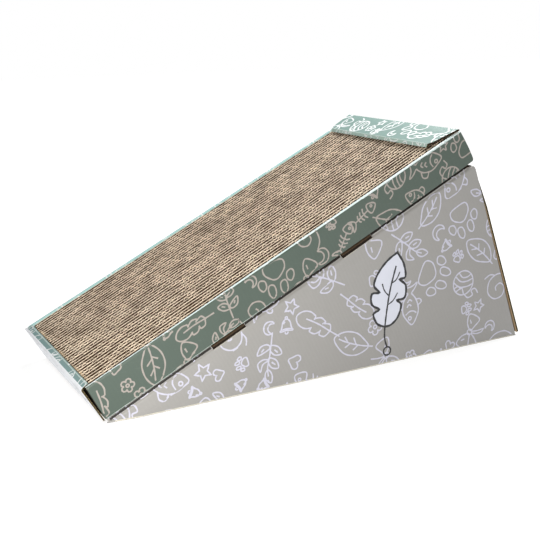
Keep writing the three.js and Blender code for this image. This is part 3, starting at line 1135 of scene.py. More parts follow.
class Finishes:
    """Every finish of the object, built once."""

    def __init__(self, sizes: Sizes) -> None:
        """Builds the materials for the given sizes."""
        slope = sizes.deck.along
        across = Vector((0, 1, 0))
        self.grey = PrintedPaper("grey_print", (0.267, 0.262, 0.254), (0.257, 0.252, 0.245),
                                 slope).make()
        self.sage = PrintedPaper("sage_print", (0.060, 0.085, 0.069), (0.057, 0.080, 0.065),
                                 slope, rough=0.38).make()
        self.mint = PrintedPaper("mint_print", (0.122, 0.212, 0.188), (0.117, 0.204, 0.181),
                                 across, rough=0.5).make()
        # The near rim's copy of the rim print, paler than the far rim's: painted highlight.
        self.rim = PrintedPaper("rim_print", (0.53, 0.62, 0.62), (0.505, 0.595, 0.595),
                                slope, rough=0.34).make()
        self.far_rim = PrintedPaper("far_rim_print", (0.29, 0.46, 0.455), (0.28, 0.44, 0.435),
                                    slope, rough=0.34).make()
        self.teal = PrintedPaper("teal_print", (0.155, 0.24, 0.237), (0.148, 0.229, 0.226),
                                 across, rough=0.4).make()
        # The lip's copy of the flap's print, lighter than the flap's: painted light on the down-turned lip.
        self.lip = PrintedPaper("lip_print", (0.31, 0.42, 0.38), (0.295, 0.40, 0.36),
                                across, rough=0.4).make()
        # Near-white finish for the low wall's leaning face: painted reflection of the bright floor.
        self.pale = PrintedPaper("painted_reflection_print", (0.68, 0.70, 0.74), (0.65, 0.67, 0.71),
                                 across).make()
        self.liner = Kraft("kraft_liner", (0.38, 0.27, 0.16), (0.48, 0.36, 0.23),
                           (0.25, 0.16, 0.09)).make()
        # Darkened kraft for the deck's tab ends in the slots: painted shade under the tray.
        self.shaded_liner = Kraft("kraft_liner_tab_painted_shade", (0.09, 0.062, 0.039), (0.17, 0.118, 0.074),
                               (0.06, 0.04, 0.025)).make()
        self.cut = Kraft("kraft_cut_edge", (0.125, 0.098, 0.045), (0.20, 0.16, 0.08),
                         (0.06, 0.046, 0.02), (4.0, 4.0, 4.0)).make()
        self.dark_cut = Kraft("kraft_dark_edge", (0.045, 0.028, 0.016), (0.075, 0.05, 0.03),
                              (0.02, 0.013, 0.008), (4.0, 4.0, 4.0)).make()
        # Near-black kraft: painted shade, for the flutes' hollows and for faces that lie in shade.
        self.hollow = Kraft("kraft_painted_shade", (0.018, 0.012, 0.008), (0.03, 0.02, 0.013),
                            (0.01, 0.007, 0.004), (3.0, 3.0, 3.0)).make()
        self.cream = Kraft("cream_cut_edge", (0.50, 0.48, 0.41), (0.57, 0.55, 0.48),
                           (0.42, 0.39, 0.32), (3.0, 3.0, 3.0)).make()
        self.white_ink = Ink("white_ink", (0.66, 0.68, 0.69)).make()
        self.lilac_ink = Ink("lilac_ink", (0.46, 0.46, 0.555)).make()
        self.feather_ink = Ink("feather_ink", (0.53, 0.55, 0.63)).make()
        self.stone_ink = Ink("stone_ink", (0.29, 0.262, 0.24)).make()
        self.dark_ink = Ink("dark_ink", (0.010, 0.010, 0.012)).make()
        # Near-black ink for the lines along the base's fold under the tray: painted shadow in the gap between
        # tray and base.
        self.seam = Ink("painted_gap_shadow", (0.010, 0.008, 0.006)).make()
        # Light grey ink for lines just below the painted shadow on the base's fold: painted highlight.
        self.fold_highlight = Ink("painted_fold_highlight", (0.39, 0.39, 0.385)).make()
        self.worn_edge = Ink("worn_edge", (0.42, 0.50, 0.46)).make()
        # Strip papers: pale at the cut top and darkened with depth as painted shade inside the cells.
        top = sizes.tray.at(0, 0, 37.7 * MM)
        self.strip = StripPaper("strip_paper", (0.965, 0.83, 0.665), (0.70, 0.55, 0.40),
                                (0.036, 0.018, 0.008), top, sizes.tray.up, 0.42 * MM, 0.16 * MM).make()
        self.medium = StripPaper("strip_medium", (0.955, 0.81, 0.635), (0.66, 0.51, 0.365),
                                 (0.026, 0.013, 0.006), top, sizes.tray.up, 0.66 * MM, 0.34 * MM).make()

    def board(self, face: bpy.types.Material, top: bpy.types.Material | None = None,
              cut: bpy.types.Material | None = None) -> list[bpy.types.Material]:
        """A board's finishes in the order of Face."""
        return [face, self.liner, cut or self.cut, self.hollow, top or face]


# The base


@dataclass
class BaseShell:
    """The wedge base: two folded side panels and the pieces between them."""

    sizes: Sizes
    finishes: Finishes
    fold_radius: float = 4 * MM
    outer_radius: float = 6 * MM
    flange: float = 26 * MM
    corner: float = 9 * MM
    deck_short: float = 10 * MM
    slots: tuple[float, float] = (121 * MM, 286 * MM)
    slot_length: float = 40 * MM
    slot_height: float = 5.4 * MM
    slot_reach: float = 6 * MM
    tab_recess: float = 1.2 * MM
    tab_clearance: float = 0.6 * MM
    tuck_run: float = 13 * MM
    tuck_low: float = 2.1 * MM
    tuck_high: float = 0.3 * MM
    sag: float = 2.0 * MM
    # Where the painted shadow line under the tray begins past the fold's start, and how far it moves along
    # the fold from the tip to the back.
    seam: float = 4.2 * MM
    gap_shadow_rise: float = 1.1 * MM
    # The share of the deck's length where the painted highlight on the fold begins.
    fold_highlight: float = 0.66
    skin: float = 0.12 * MM
    feature: Pair = (314 * MM, 78 * MM)
    bare_spot: Pair = (366 * MM, 142 * MM)

    @property
    def deck_length(self) -> float:
        """The distance from the tip to the back line along the deck line."""
        return (self.sizes.back_top[0] - self.sizes.tip) / math.cos(self.sizes.slope)

    @property
    def depth(self) -> float:
        """How far the bottom back corner is below the deck line."""
        z = self.sizes
        return z.base_length * math.sin(z.slope) + z.front_height * math.cos(z.slope)

    @property
    def foot_drop(self) -> float:
        """How far the tip's foot is below the deck line."""
        return self.sizes.front_height * math.cos(self.sizes.slope)

    def low(self, drop: float) -> float:
        """The least distance along the deck of a side panel at a depth below the deck line."""
        z = self.sizes
        floor = (drop * math.cos(z.slope) - z.front_height) / math.sin(z.slope)
        return max(floor, -drop * math.tan(z.slope))

    def high(self, drop: float) -> float:
        """The greatest distance along the deck at a depth, with the rounded top corner."""
        z = self.sizes
        sine, cosine, lean = math.sin(z.slope), math.cos(z.slope), math.tan(z.back_lean)
        line = (z.base_length - z.front_height * lean - drop * (sine - cosine * lean)) / (
            cosine + sine * lean)
        turn = math.pi / 2 + z.slope - z.back_lean
        centre = self.deck_length - self.corner * math.tan(turn / 2)
        if drop < self.corner * (1 - math.cos(turn)):
            return min(line, centre + math.sqrt(self.corner ** 2 - (self.corner - drop) ** 2))
        return line

    def lay_side(self, side: Side) -> Board:
        """Lays out a side panel, from its lowest corner up and over the fold.

        Args:
            side: the side of the object.

        Returns:
            The board, with its papers and raw edges.
        """
        face = self.sizes.half - self.skin
        profile = Profile.bent([(-face, -self.depth), (-face, 0.0), (-face + self.flange, 0.0)],
                               [self.outer_radius], 8)
        board = Board(self.sizes.deck, profile, Run.ALONG, side, wave=5.0 * MM,
                      flute=Vector((1.0, 0.0)), bow=0.25 * MM, seed=4 + side.value,
                      grounded=True)
        fold_start, fold_end = profile.bends[0]

        def tuck(a: float, s: float) -> float:
            """How far the panel is drawn in under the tray, and its fold pressed down there."""
            along = min(1.0, max(0.0, (s - fold_start) / (fold_end - fold_start)))
            share = min(max(0.0, (s - fold_start) / self.tuck_run + 1), 1 - along)
            most = self.tuck_low + (self.tuck_high - self.tuck_low) * a / self.deck_length
            return most * share * share * (3 - 2 * share) + self.sag * math.sin(math.pi * along)

        board.tuck = tuck
        slot_low = self.depth - self.slot_height
        slot_high = profile.length - self.flange + self.slot_reach

        def drop(s: float) -> float:
            """How far a place along the profile is below the deck line."""
            return max(0.0, -profile.at(s)[0].y)

        def low(s: float) -> float:
            """The panel's low limit at a distance along the profile."""
            return self.low(drop(s))

        def high(s: float) -> float:
            """The panel's high limit at a distance along the profile."""
            return max(low(s), self.high(drop(s)))

        first, second = self.slots
        long = self.slot_length
        drawn = fold_start - self.tuck_run
        board.panel(0.0, drawn, [(low, high)])
        board.panel(drawn, slot_low, [(low, high)], step=2 * MM)
        board.panel(slot_low, slot_high, [(low, constant(first)),
                                          (constant(first + long), constant(second)),
                                          (constant(second + long), high)], step=4 * MM)
        board.panel(slot_high, profile.length, [(low, high)])
        tip = self.depth - self.foot_drop
        board.edge([(low(tip), tip), (low(0.0), 0.0)])
        rows = profile.breaks(0.0, profile.length, 6 * MM)
        board.edge([(high(s), s) for s in rows])
        board.edge([(low(s), s) for s in reversed(rows) if s > tip] + [(low(tip), tip)])
        for start in self.slots:
            end = start + long
            board.edge([(end, slot_low), (start, slot_low), (start, slot_high),
                        (end, slot_high), (end, slot_low)])
        return board

    def _gap_shadow_at(self, board: Board, a: float) -> float:
        """Where the painted shadow line in the gap under the tray starts along a side panel's profile.

        Args:
            board: the side panel.
            a: the distance along the deck.

        Returns:
            The distance along the profile.
        """
        return board.profile.bends[0][0] + self.seam + self.gap_shadow_rise * a / self.deck_length

    def print_side(self, board: Board, side: Side) -> None:
        """Prints the all-over motifs, the feature and the pale cut lines on a side panel, with a painted
        shadow line and a painted highlight along its fold under the tray.
        """
        low_s = self.depth - self.feature[1]
        centre = (self.feature[0], low_s)
        bare = (self.bare_spot[0], self.depth - self.bare_spot[1])
        press = Press(board, 1.55 * MM, seed=23 if side is Side.NEAR else 57)
        keep = [(centre, 13 * MM), ((centre[0] - 14 * MM, low_s - 30 * MM), 8 * MM),
                ((centre[0] + 14 * MM, low_s + 30 * MM), 8 * MM), (bare, 24 * MM),
                ((bare[0] - 28 * MM, bare[1] + 2 * MM), 18 * MM)]
        # Motif lines that cross the painted shadow band are drawn in its near-black ink.
        press.ink = lambda a, s: 4 if 0 < s - self._gap_shadow_at(board, a) < 2.6 * MM else 0
        press.scatter((-10 * MM, 0.0), (self.deck_length + 10 * MM, board.profile.length - 16 * MM),
                      keep)
        press.ink = None
        self.print_feature(press, centre)
        tip = self.depth - self.foot_drop
        edge = [(self.low(self.depth - s) + 0.9 * MM, s + 0.45 * MM)
                for s in (tip - 3 * MM, 2 * MM)]
        press.line(edge, 1.0 * MM, 3)
        for start in self.slots:
            under = self.depth - self.slot_height - 0.5 * MM
            press.line([(start, under), (start + self.slot_length, under)], 0.6 * MM, 3)
        # Near-black lines along the fold just under the tray: painted shadow in the gap between tray and
        # base.
        for k in range(4):
            press.line([(a, self._gap_shadow_at(board, a) + 0.75 * MM * k)
                        for a in (2 * MM, self.deck_length - self.deck_short)], 0.95 * MM, 4)
        # Light grey lines just below them on the high part of the fold: painted highlight.
        for k in range(2):
            press.line([(a, self._gap_shadow_at(board, a) - (1.0 + 0.8 * k) * MM)
                        for a in (self.fold_highlight * self.deck_length, self.deck_length - self.deck_short)],
                       0.9 * MM, 5)
        inks = [self.finishes.lilac_ink, self.finishes.dark_ink, self.finishes.feather_ink,
                self.finishes.cream, self.finishes.seam, self.finishes.fold_highlight]
        press.make(f"base_print_{side.name.lower()}", inks, "base", "base_print")

    def print_feature(self, press: Press, centre: Pair) -> None:
        """Prints the large feather toy: a white form with a black outline.

        Args:
            press: the press of the side panel.
            centre: the form's middle, as a and s.
        """
        left = [(-0.03, -0.56), (-0.2, -0.5), (-0.33, -0.3), (-0.2, -0.2), (-0.4, -0.1),
                (-0.44, 0.12), (-0.26, 0.16), (-0.42, 0.3), (-0.36, 0.56), (-0.18, 0.82), (0.04, 1.0)]
        right = [(0.04, 1.0), (0.24, 0.78), (0.34, 0.5), (0.2, 0.44), (0.38, 0.32), (0.4, 0.06),
                 (0.22, 0.0), (0.34, -0.1), (0.3, -0.36), (0.16, -0.52), (0.03, -0.56)]
        turn = -self.sizes.slope - math.radians(9)
        scale = 52 * MM

        def placed(points: Sequence[Pair]) -> list[Pair]:
            """The points turned, scaled and moved to the form's place."""
            return [(centre[0] + scale * (x * math.cos(turn) - y * math.sin(turn)),
                     centre[1] + scale * (x * math.sin(turn) + y * math.cos(turn)))
                    for x, y in points]

        outline = placed(smoothed(left, False, 4)[:-1] + smoothed(right, False, 4))
        board, mesher = press.board, press.mesher
        ids = mesher.add(board.point(a, s, -0.08 * MM) for a, s in outline)
        mesher.face(ids, 2, board.outward(*centre))
        press.line([*outline, outline[0]], 2.5 * MM, 1, 0.11 * MM)
        quill = smoothed([(0.06, 0.72), (0.0, 0.2), (0.0, -0.4), (0.04, -0.78), (0.14, -1.0)], False)
        press.line(placed(quill), 2.0 * MM, 1, 0.11 * MM)
        for barb in (((-0.02, 0.1), (-0.14, 0.2), (-0.22, 0.34)), ((-0.0, -0.1), (0.12, 0.0), (0.2, 0.16)),
                     ((0.02, 0.36), (0.12, 0.44), (0.18, 0.6))):
            press.line(placed(smoothed(barb, False)), 1.4 * MM, 1, 0.11 * MM)
        ring = smoothed(circle(0.16, -1.09, 0.09)[2], True)
        press.line(placed(ring), 1.8 * MM, 1, 0.11 * MM)

    def lay_deck(self) -> None:
        """Lays the deck, with its lock tabs in the slots."""
        z = self.sizes
        top = -(z.board + z.gap)
        edge = z.half - self.fold_radius - z.gap - self.tuck_low
        reach = z.half - self.tab_recess
        start = (z.board + z.gap - z.front_height - (top - z.board) * math.cos(z.slope)) / math.sin(z.slope)
        end = self.deck_length - self.deck_short
        profile = Profile.bent([(-reach, top), (reach, top)], [])
        board = Board(z.deck, profile, Run.ALONG, thickness=z.board, seed=9, wave=5 * MM)
        tabs = [(a + self.tab_clearance, a + self.slot_length - self.tab_clearance)
                for a in self.slots]
        limits = [(constant(a), constant(b)) for a, b in tabs]
        wide, tab = profile.length, reach - edge

        def face(a: float, s: float) -> Face:
            """Plain board, with the tab ends darkened as painted shade under the tray."""
            return Face.PRINT if tab < s < wide - tab else Face.TOP_PRINT

        board.panel(0.0, tab, limits, face)
        board.panel(tab, wide - tab, [(constant(start), constant(end))], face)
        board.panel(wide - tab, wide, limits, face)
        (a1, b1), (a2, b2) = tabs
        near = [(start, tab), (a1, tab), (a1, 0.0), (b1, 0.0), (b1, tab), (a2, tab), (a2, 0.0),
                (b2, 0.0), (b2, tab), (end, tab)]
        far = [(a, wide - s) for a, s in reversed(near)]
        board.edge([*near, *far, near[0]])
        # The tab ends take the darkened kraft and the raw edges the near-black hollow finish: painted shade.
        finishes = self.finishes.board(self.finishes.liner, self.finishes.shaded_liner, self.finishes.hollow)
        board.mesher.make("deck_board", finishes, "base",
                          ["base_deck"], "raw_board")

    def build(self, nodes: dict[str, bpy.types.Object]) -> None:
        """Builds the base's pieces and finishes its carried-over nodes.

        Args:
            nodes: the CAD nodes by name.
        """
        for side in Side:
            board = self.lay_side(side)
            name = side.name.lower()
            finishes = self.finishes.board(self.finishes.grey, cut=self.finishes.dark_cut)
            board.mesher.make(f"side_panel_{name}", finishes, "base", [f"base_side_{name}"],
                              "base_print")
            self.print_side(board, side)
        self.lay_deck()
        for name in ("base_dust_flap_near", "base_dust_flap_far"):
            dress(nodes[name], self.finishes.liner)
        for name in ("base_floor", "base_front_wall"):
            dress(nodes[name], self.finishes.grey)


def dress(node: bpy.types.Object, finish: bpy.types.Material) -> None:
    """Gives a carried-over node its finish."""
    node.data.materials.clear()
    node.data.materials.append(finish)
    LOG.info("%s: keeps its own shape", node.name)


@dataclass
class BackPanel:
    """The panel that hangs from the crease at the top of the back."""

    sizes: Sizes
    finishes: Finishes
    corner: float = 11 * MM
    shoulder: float = 5 * MM
    shoulder_run: float = 45 * MM
    crease_radius: float = 8.5 * MM
    crease_lead: float = 10.2 * MM
    crease_inset: float = 0.5 * MM
    crease_recess: float = 2.6 * MM
    foot: float = 1.5 * MM
    flare: float = math.radians(0.8)
    skin: float = 0.12 * MM

    def lay_crease(self, back: Place, top: float) -> None:
        """Lays the rounded board between the deck and the panel; it stays with the base.

        Args:
            back: the place of the back plane's foot.
            top: the length of the back plane.
        """
        angle = self.sizes.slope - self.sizes.back_lean
        x, y = -self.crease_inset, top - self.crease_inset
        start = (x - self.crease_lead * math.cos(angle), y - self.crease_lead * math.sin(angle))
        profile = Profile.bent([start, (x, y), (x, y - self.corner)], [self.crease_radius], 8)
        half = self.sizes.half - self.crease_recess
        end = profile.length
        board = Board(back, profile, Run.ACROSS, seed=32, wave=5 * MM, flute=Vector((1.0, 0.0)))
        board.panel(0.0, end, [(constant(-half), constant(half))])
        board.edge([(-half, 0.0), (half, 0.0), (half, end), (-half, end), (-half, 0.0)])
        # The crease board's raw edges take the near-black hollow finish: painted shade in the gap between
        # tray and base.
        finishes = self.finishes.board(self.finishes.grey, cut=self.finishes.hollow)
        board.mesher.make("back_crease_board", finishes, "base", [], "base_print")

    def build(self) -> None:
        """Builds the panel, the crease above it and the print."""
        z = self.sizes
        back_length = z.back_top[1] / math.cos(z.back_lean)
        level = Place(Vector(), Vector((1, 0, 0)), Vector((0, 0, 1)))
        back = level.turned(Vector((z.tip + z.base_length, 0, 0)), z.back_lean)
        self.lay_crease(back, back_length)
        origin = back.at(z.board + z.gap, 0, back_length - self.corner)
        frame = back.turned(origin, self.flare)
        drop = back_length - self.corner - self.foot - z.board * math.tan(z.back_lean)
        profile = Profile.bent([(0.0, 0.0), (0.0, -drop)], [])
        half = z.half - self.skin
        board = Board(frame, profile, Run.ACROSS, bow=0.3 * MM, seed=31, wave=5 * MM,
                      flute=Vector((1.0, 0.0)), recess=0.5 * MM)

        def reach(s: float) -> float:
            """Half the panel's width at a distance down from its top."""
            return half - self.shoulder * max(0.0, 1 - s / self.shoulder_run)

        rows = [0.0, self.shoulder_run, drop]
        for low, high in zip(rows, rows[1:]):
            board.panel(low, high, [(lambda s: -reach(s), reach)])
        board.edge([(-reach(0.0), 0.0), *((reach(s), s) for s in rows),
                    *((-reach(s), s) for s in reversed(rows))])
        board.mesher.make("back_board", self.finishes.board(self.finishes.grey), "back",
                          ["back_panel"], "base_print")
        press = Press(board, 1.5 * MM, seed=71)
        press.scatter((-half - 8 * MM, -8 * MM), (half + 8 * MM, drop + 8 * MM))
        press.make("back_print", [self.finishes.lilac_ink], "back", "base_print")


# The tray


@dataclass
class Tray:
    """The shallow tray: two rolled sides, two hollow end walls, a floor and corner tabs."""

    sizes: Sizes
    finishes: Finishes
    rim: float = 4.8 * MM
    rim_radius: float = 2.35 * MM
    corner: float = 4 * MM
    swell: float = 4.3 * MM
    foot_bend: float = 1.3 * MM
    fold: float = 1.1 * MM
    rim_low: float = 3.0 * MM
    rim_high: float = 0.4 * MM
    worn: float = 0.42
    low_foot: float = 2.6 * MM
    low_head: float = 4.95 * MM
    low_reach: float = 4.5 * MM
    round_off: float = 2.0 * MM
    round_run: float = 6 * MM
    # How far past the leaning face's top bend its near-white painted reflection reaches.
    reflection_band: float = 1.2 * MM
    end_radius: float = 1.5 * MM
    high_width: float = 11 * MM
    high_recess: float = 0.5 * MM
    skin: float = 0.12 * MM

    def lay_side(self, side: Side) -> Board:
        """Lays a side wall: up the outside, over the rolled rim and down the inside.

        Args:
            side: the side of the object.

        Returns:
            The board.
        """
        z = self.sizes
        outer, head = -z.half + self.skin, z.tray_height - 0.04 * MM
        profile = Profile.bent([(outer + self.foot_bend, 0.0), (outer, 0.0), (outer, head),
                                (outer + self.rim, head), (outer + self.rim, z.board + z.gap)],
                               [self.foot_bend - 0.02 * MM, self.rim_radius, self.rim_radius], 8)
        board = Board(z.tray, profile, Run.ALONG, side, bow=0.3 * MM, seed=14 + side.value)
        foot = profile.bends[0][1] + self.corner - self.foot_bend
        turn = profile.bends[1][0]

        def high(s: float) -> float:
            """The end of the board at a distance along the profile; it swells towards the foot."""
            up = max(0.0, profile.at(s)[0].y)
            end = z.tray_length + self.swell * math.sin(math.pi / 2 * max(0.0, 1 - up / head))
            if s < foot:
                end += math.sqrt(max(0.0, self.corner ** 2 - (self.corner - up) ** 2)) - self.corner
            return end

        def face(a: float, s: float) -> Face:
            """Dark print on the side and pale print on the rim."""
            return Face.TOP_PRINT if self.on_rim(board, a, s) else Face.PRINT

        board.panel(0.0, foot, [(constant(self.fold), high)], face)
        board.panel(foot, turn, [(constant(self.fold), high)], face)
        board.panel(turn, profile.length, [(constant(0.0), high)], face)
        self._fold(board, 0.0, turn)
        rows = [*profile.breaks(0.0, foot, 1 * MM), *profile.breaks(foot, profile.length, 4 * MM)[1:]]
        board.edge([(high(s), s) for s in rows])
        board.edge([(high(profile.length), profile.length), (0.0, profile.length)])
        board.edge([(0.0, profile.length), (0.0, turn)])
        return board

    def on_rim(self, board: Board, a: float, s: float) -> bool:
        """Whether a place on a side wall has the pale print of the rim, which on the near side is a paler
        copy as painted highlight.

        The two prints meet on the rounded outer edge, a little lower towards the high end.

        Args:
            board: the side wall.
            a: the distance along the tray.
            s: the distance along the profile.

        Returns:
            Whether it does.
        """
        share = a / self.sizes.tray_length
        return s > board.profile.bends[1][0] + self.rim_low + (self.rim_high - self.rim_low) * share

    def _fold(self, board: Board, low: float, high: float) -> None:
        """Turns the printed face in at the low end, between two distances up the side."""
        steps = 6
        marks = board.profile.breaks(low, high, 20 * MM)
        for start, end in zip(marks, marks[1:]):
            rows: list[list[Vector]] = []
            for k in range(steps + 2):
                angle = min(k, steps) / steps * math.pi / 2
                sink = self.fold * (1 - math.cos(angle)) + (1.0 * MM if k > steps else 0.0)
                a = self.fold * (1 - math.sin(angle))
                rows.append([board.point(a, s, sink) for s in (start, end)])
            toward = board.outward(0.0, (start + end) / 2) - board.frame.along * MM
            for first, second in zip(rows, rows[1:]):
                board.mesher.band(first, second, Face.PRINT.value, toward, True)

    def print_side(self, board: Board, side: Side) -> None:
        """Prints a side wall: stone lines below the rim, white on it, a worn fold."""
        z = self.sizes
        foot, turn = board.profile.bends[0][1], board.profile.bends[1][0]
        press = Press(board, 1.6 * MM, seed=11 if side is Side.NEAR else 37)
        press.ink = lambda a, s: 1 if self.on_rim(board, a, s) else 0
        press.scatter((-4 * MM, foot - 2 * MM), (z.tray_length + 4 * MM, turn + 2 * MM),
                      sizes=((18 * MM, 23 * MM), (7 * MM, 9.5 * MM)))
        press.ink = None
        press.line([(self.fold * 0.7, s) for s in (foot, turn)], 0.7 * MM, 2)
        press.line([(self.fold, foot - 0.3 * MM), (self.worn * z.tray_length, foot - 0.3 * MM)],
                   0.5 * MM, 2)
        inks = [self.finishes.stone_ink, self.finishes.white_ink, self.finishes.worn_edge]
        press.make(f"tray_print_{side.name.lower()}", inks, "tray", "tray_print")

    def lay_low_wall(self) -> None:
        """Lays the low wall: a leaning face, a flat rim strip with mitred ends, an inside."""
        z = self.sizes
        inside = z.half - self.rim - z.gap
        profile = Profile.bent([(-self.low_foot, 0.0), (-self.low_head, z.tray_height),
                                (self.low_reach, z.tray_height), (self.low_reach, z.board + z.gap)],
                               [self.end_radius, self.end_radius], 6)
        board = Board(z.tray, profile, Run.ACROSS, seed=21, flute=Vector((1.0, 0.0)),
                      thickness=1.6 * MM, paper=0.24 * MM, recess=1.6 * MM)
        outer = z.half - self.skin

        def reach(s: float) -> float:
            """Half the width of the board at a distance along the profile."""
            spot, normal = profile.at(s)
            share = (spot.x + self.low_head) / (self.low_head - z.gap)
            near = max(0.0, 1 - (z.tray_height - spot.y) / self.round_run)
            side = outer - self.round_off * near * near
            if normal.y < 0.2:
                return side if spot.x < 0 else inside
            return side + (inside - side) * min(1.0, max(0.0, share))

        def face(a: float, s: float) -> Face:
            """Near-white on the leaning face as painted reflection, and grey-green print on the rim strip."""
            return Face.TOP_PRINT if s > strip else Face.PRINT

        strip = profile.bends[0][1] + self.reflection_band
        for start, end in ((0.0, strip), (strip, profile.length)):
            board.panel(start, end, [(lambda s: -reach(s), reach)], face)
        rows = profile.breaks(0.0, profile.length, 2 * MM)
        board.edge([(reach(s), s) for s in rows])
        board.edge([(-reach(s), s) for s in reversed(rows)])
        board.edge([(-outer, 0.0), (outer, 0.0)])
        finishes = self.finishes.board(self.finishes.pale, self.finishes.teal)
        # The inside of the low wall takes the near-black hollow finish: painted shade.
        finishes[Face.LINER.value] = self.finishes.hollow
        board.mesher.make("low_wall_board", finishes, "tray", ["tray_wall_low"], "rim_print")
        press = Press(board, 1.2 * MM, seed=43)
        rim = profile.length - z.tray_height - self.low_reach / 2
        press.scatter((-outer, rim - 14 * MM), (outer, rim + 12 * MM),
                      sizes=((17 * MM, 21 * MM), (5 * MM, 6 * MM)), tries=60)
        inner = profile.bends[1][0] - 0.2 * MM
        press.line([(-inside, inner), (inside, inner)], 0.8 * MM, 1)
        press.make("low_wall_print", [self.finishes.white_ink, self.finishes.worn_edge], "tray",
                   "rim_print")

    def lay_high_wall(self) -> None:
        """Lays the hollow high wall between the side walls."""
        z = self.sizes
        outside = z.tray_length - self.high_recess
        inside = outside - self.high_width
        profile = Profile.bent([(inside, z.board + z.gap), (inside, z.tray_height),
                                (outside, z.tray_height), (outside + self.swell - 1 * MM, 0.0)],
                               [self.end_radius, self.end_radius], 6)
        half = z.half - self.rim - z.gap
        board = Board(z.tray, profile, Run.ACROSS, seed=22, flute=Vector((1.0, 0.0)))
        turn = profile.length - z.tray_height + self.end_radius

        def face(a: float, s: float) -> Face:
            """Dark print on the outside and pale print above and inside."""
            return Face.PRINT if s > turn else Face.TOP_PRINT

        board.panel(0.0, profile.length, [(constant(-half), constant(half))], face)
        board.edge([(half, 0.0), (half, profile.length)])
        board.edge([(-half, profile.length), (-half, 0.0)])
        board.edge([(half, profile.length), (-half, profile.length)])
        board.mesher.make("high_wall_board", self.finishes.board(self.finishes.sage, self.finishes.mint),
                          "tray", ["tray_wall_high"], "tray_print")
        press = Press(board, 1.45 * MM, seed=47)
        press.scatter((-half, turn), (half, profile.length),
                      sizes=((18 * MM, 23 * MM), (7 * MM, 9.5 * MM)), tries=600)
        press.make("high_wall_print", [self.finishes.stone_ink], "tray", "tray_print")

    def build(self, nodes: dict[str, bpy.types.Object]) -> None:
        """Builds the tray's pieces and finishes its carried-over nodes.

        Args:
            nodes: the CAD nodes by name.
        """
        for side in Side:
            board = self.lay_side(side)
            name = side.name.lower()
            # The near rim takes the paler copy of the rim print: painted highlight.
            rim = self.finishes.rim if side is Side.NEAR else self.finishes.far_rim
            finishes = self.finishes.board(self.finishes.sage, rim)
            board.mesher.make(f"tray_side_{name}_board", finishes, "tray",
                              [f"tray_side_{name}"], "tray_print")
            self.print_side(board, side)
        self.lay_low_wall()
        self.lay_high_wall()
        dress(nodes["tray_floor"], self.finishes.liner)
        # The corner tabs take the near-black hollow finish: painted shade.
        for name in ("tray_tab_near", "tray_tab_far"):
            dress(nodes[name], self.finishes.hollow)


# The pad


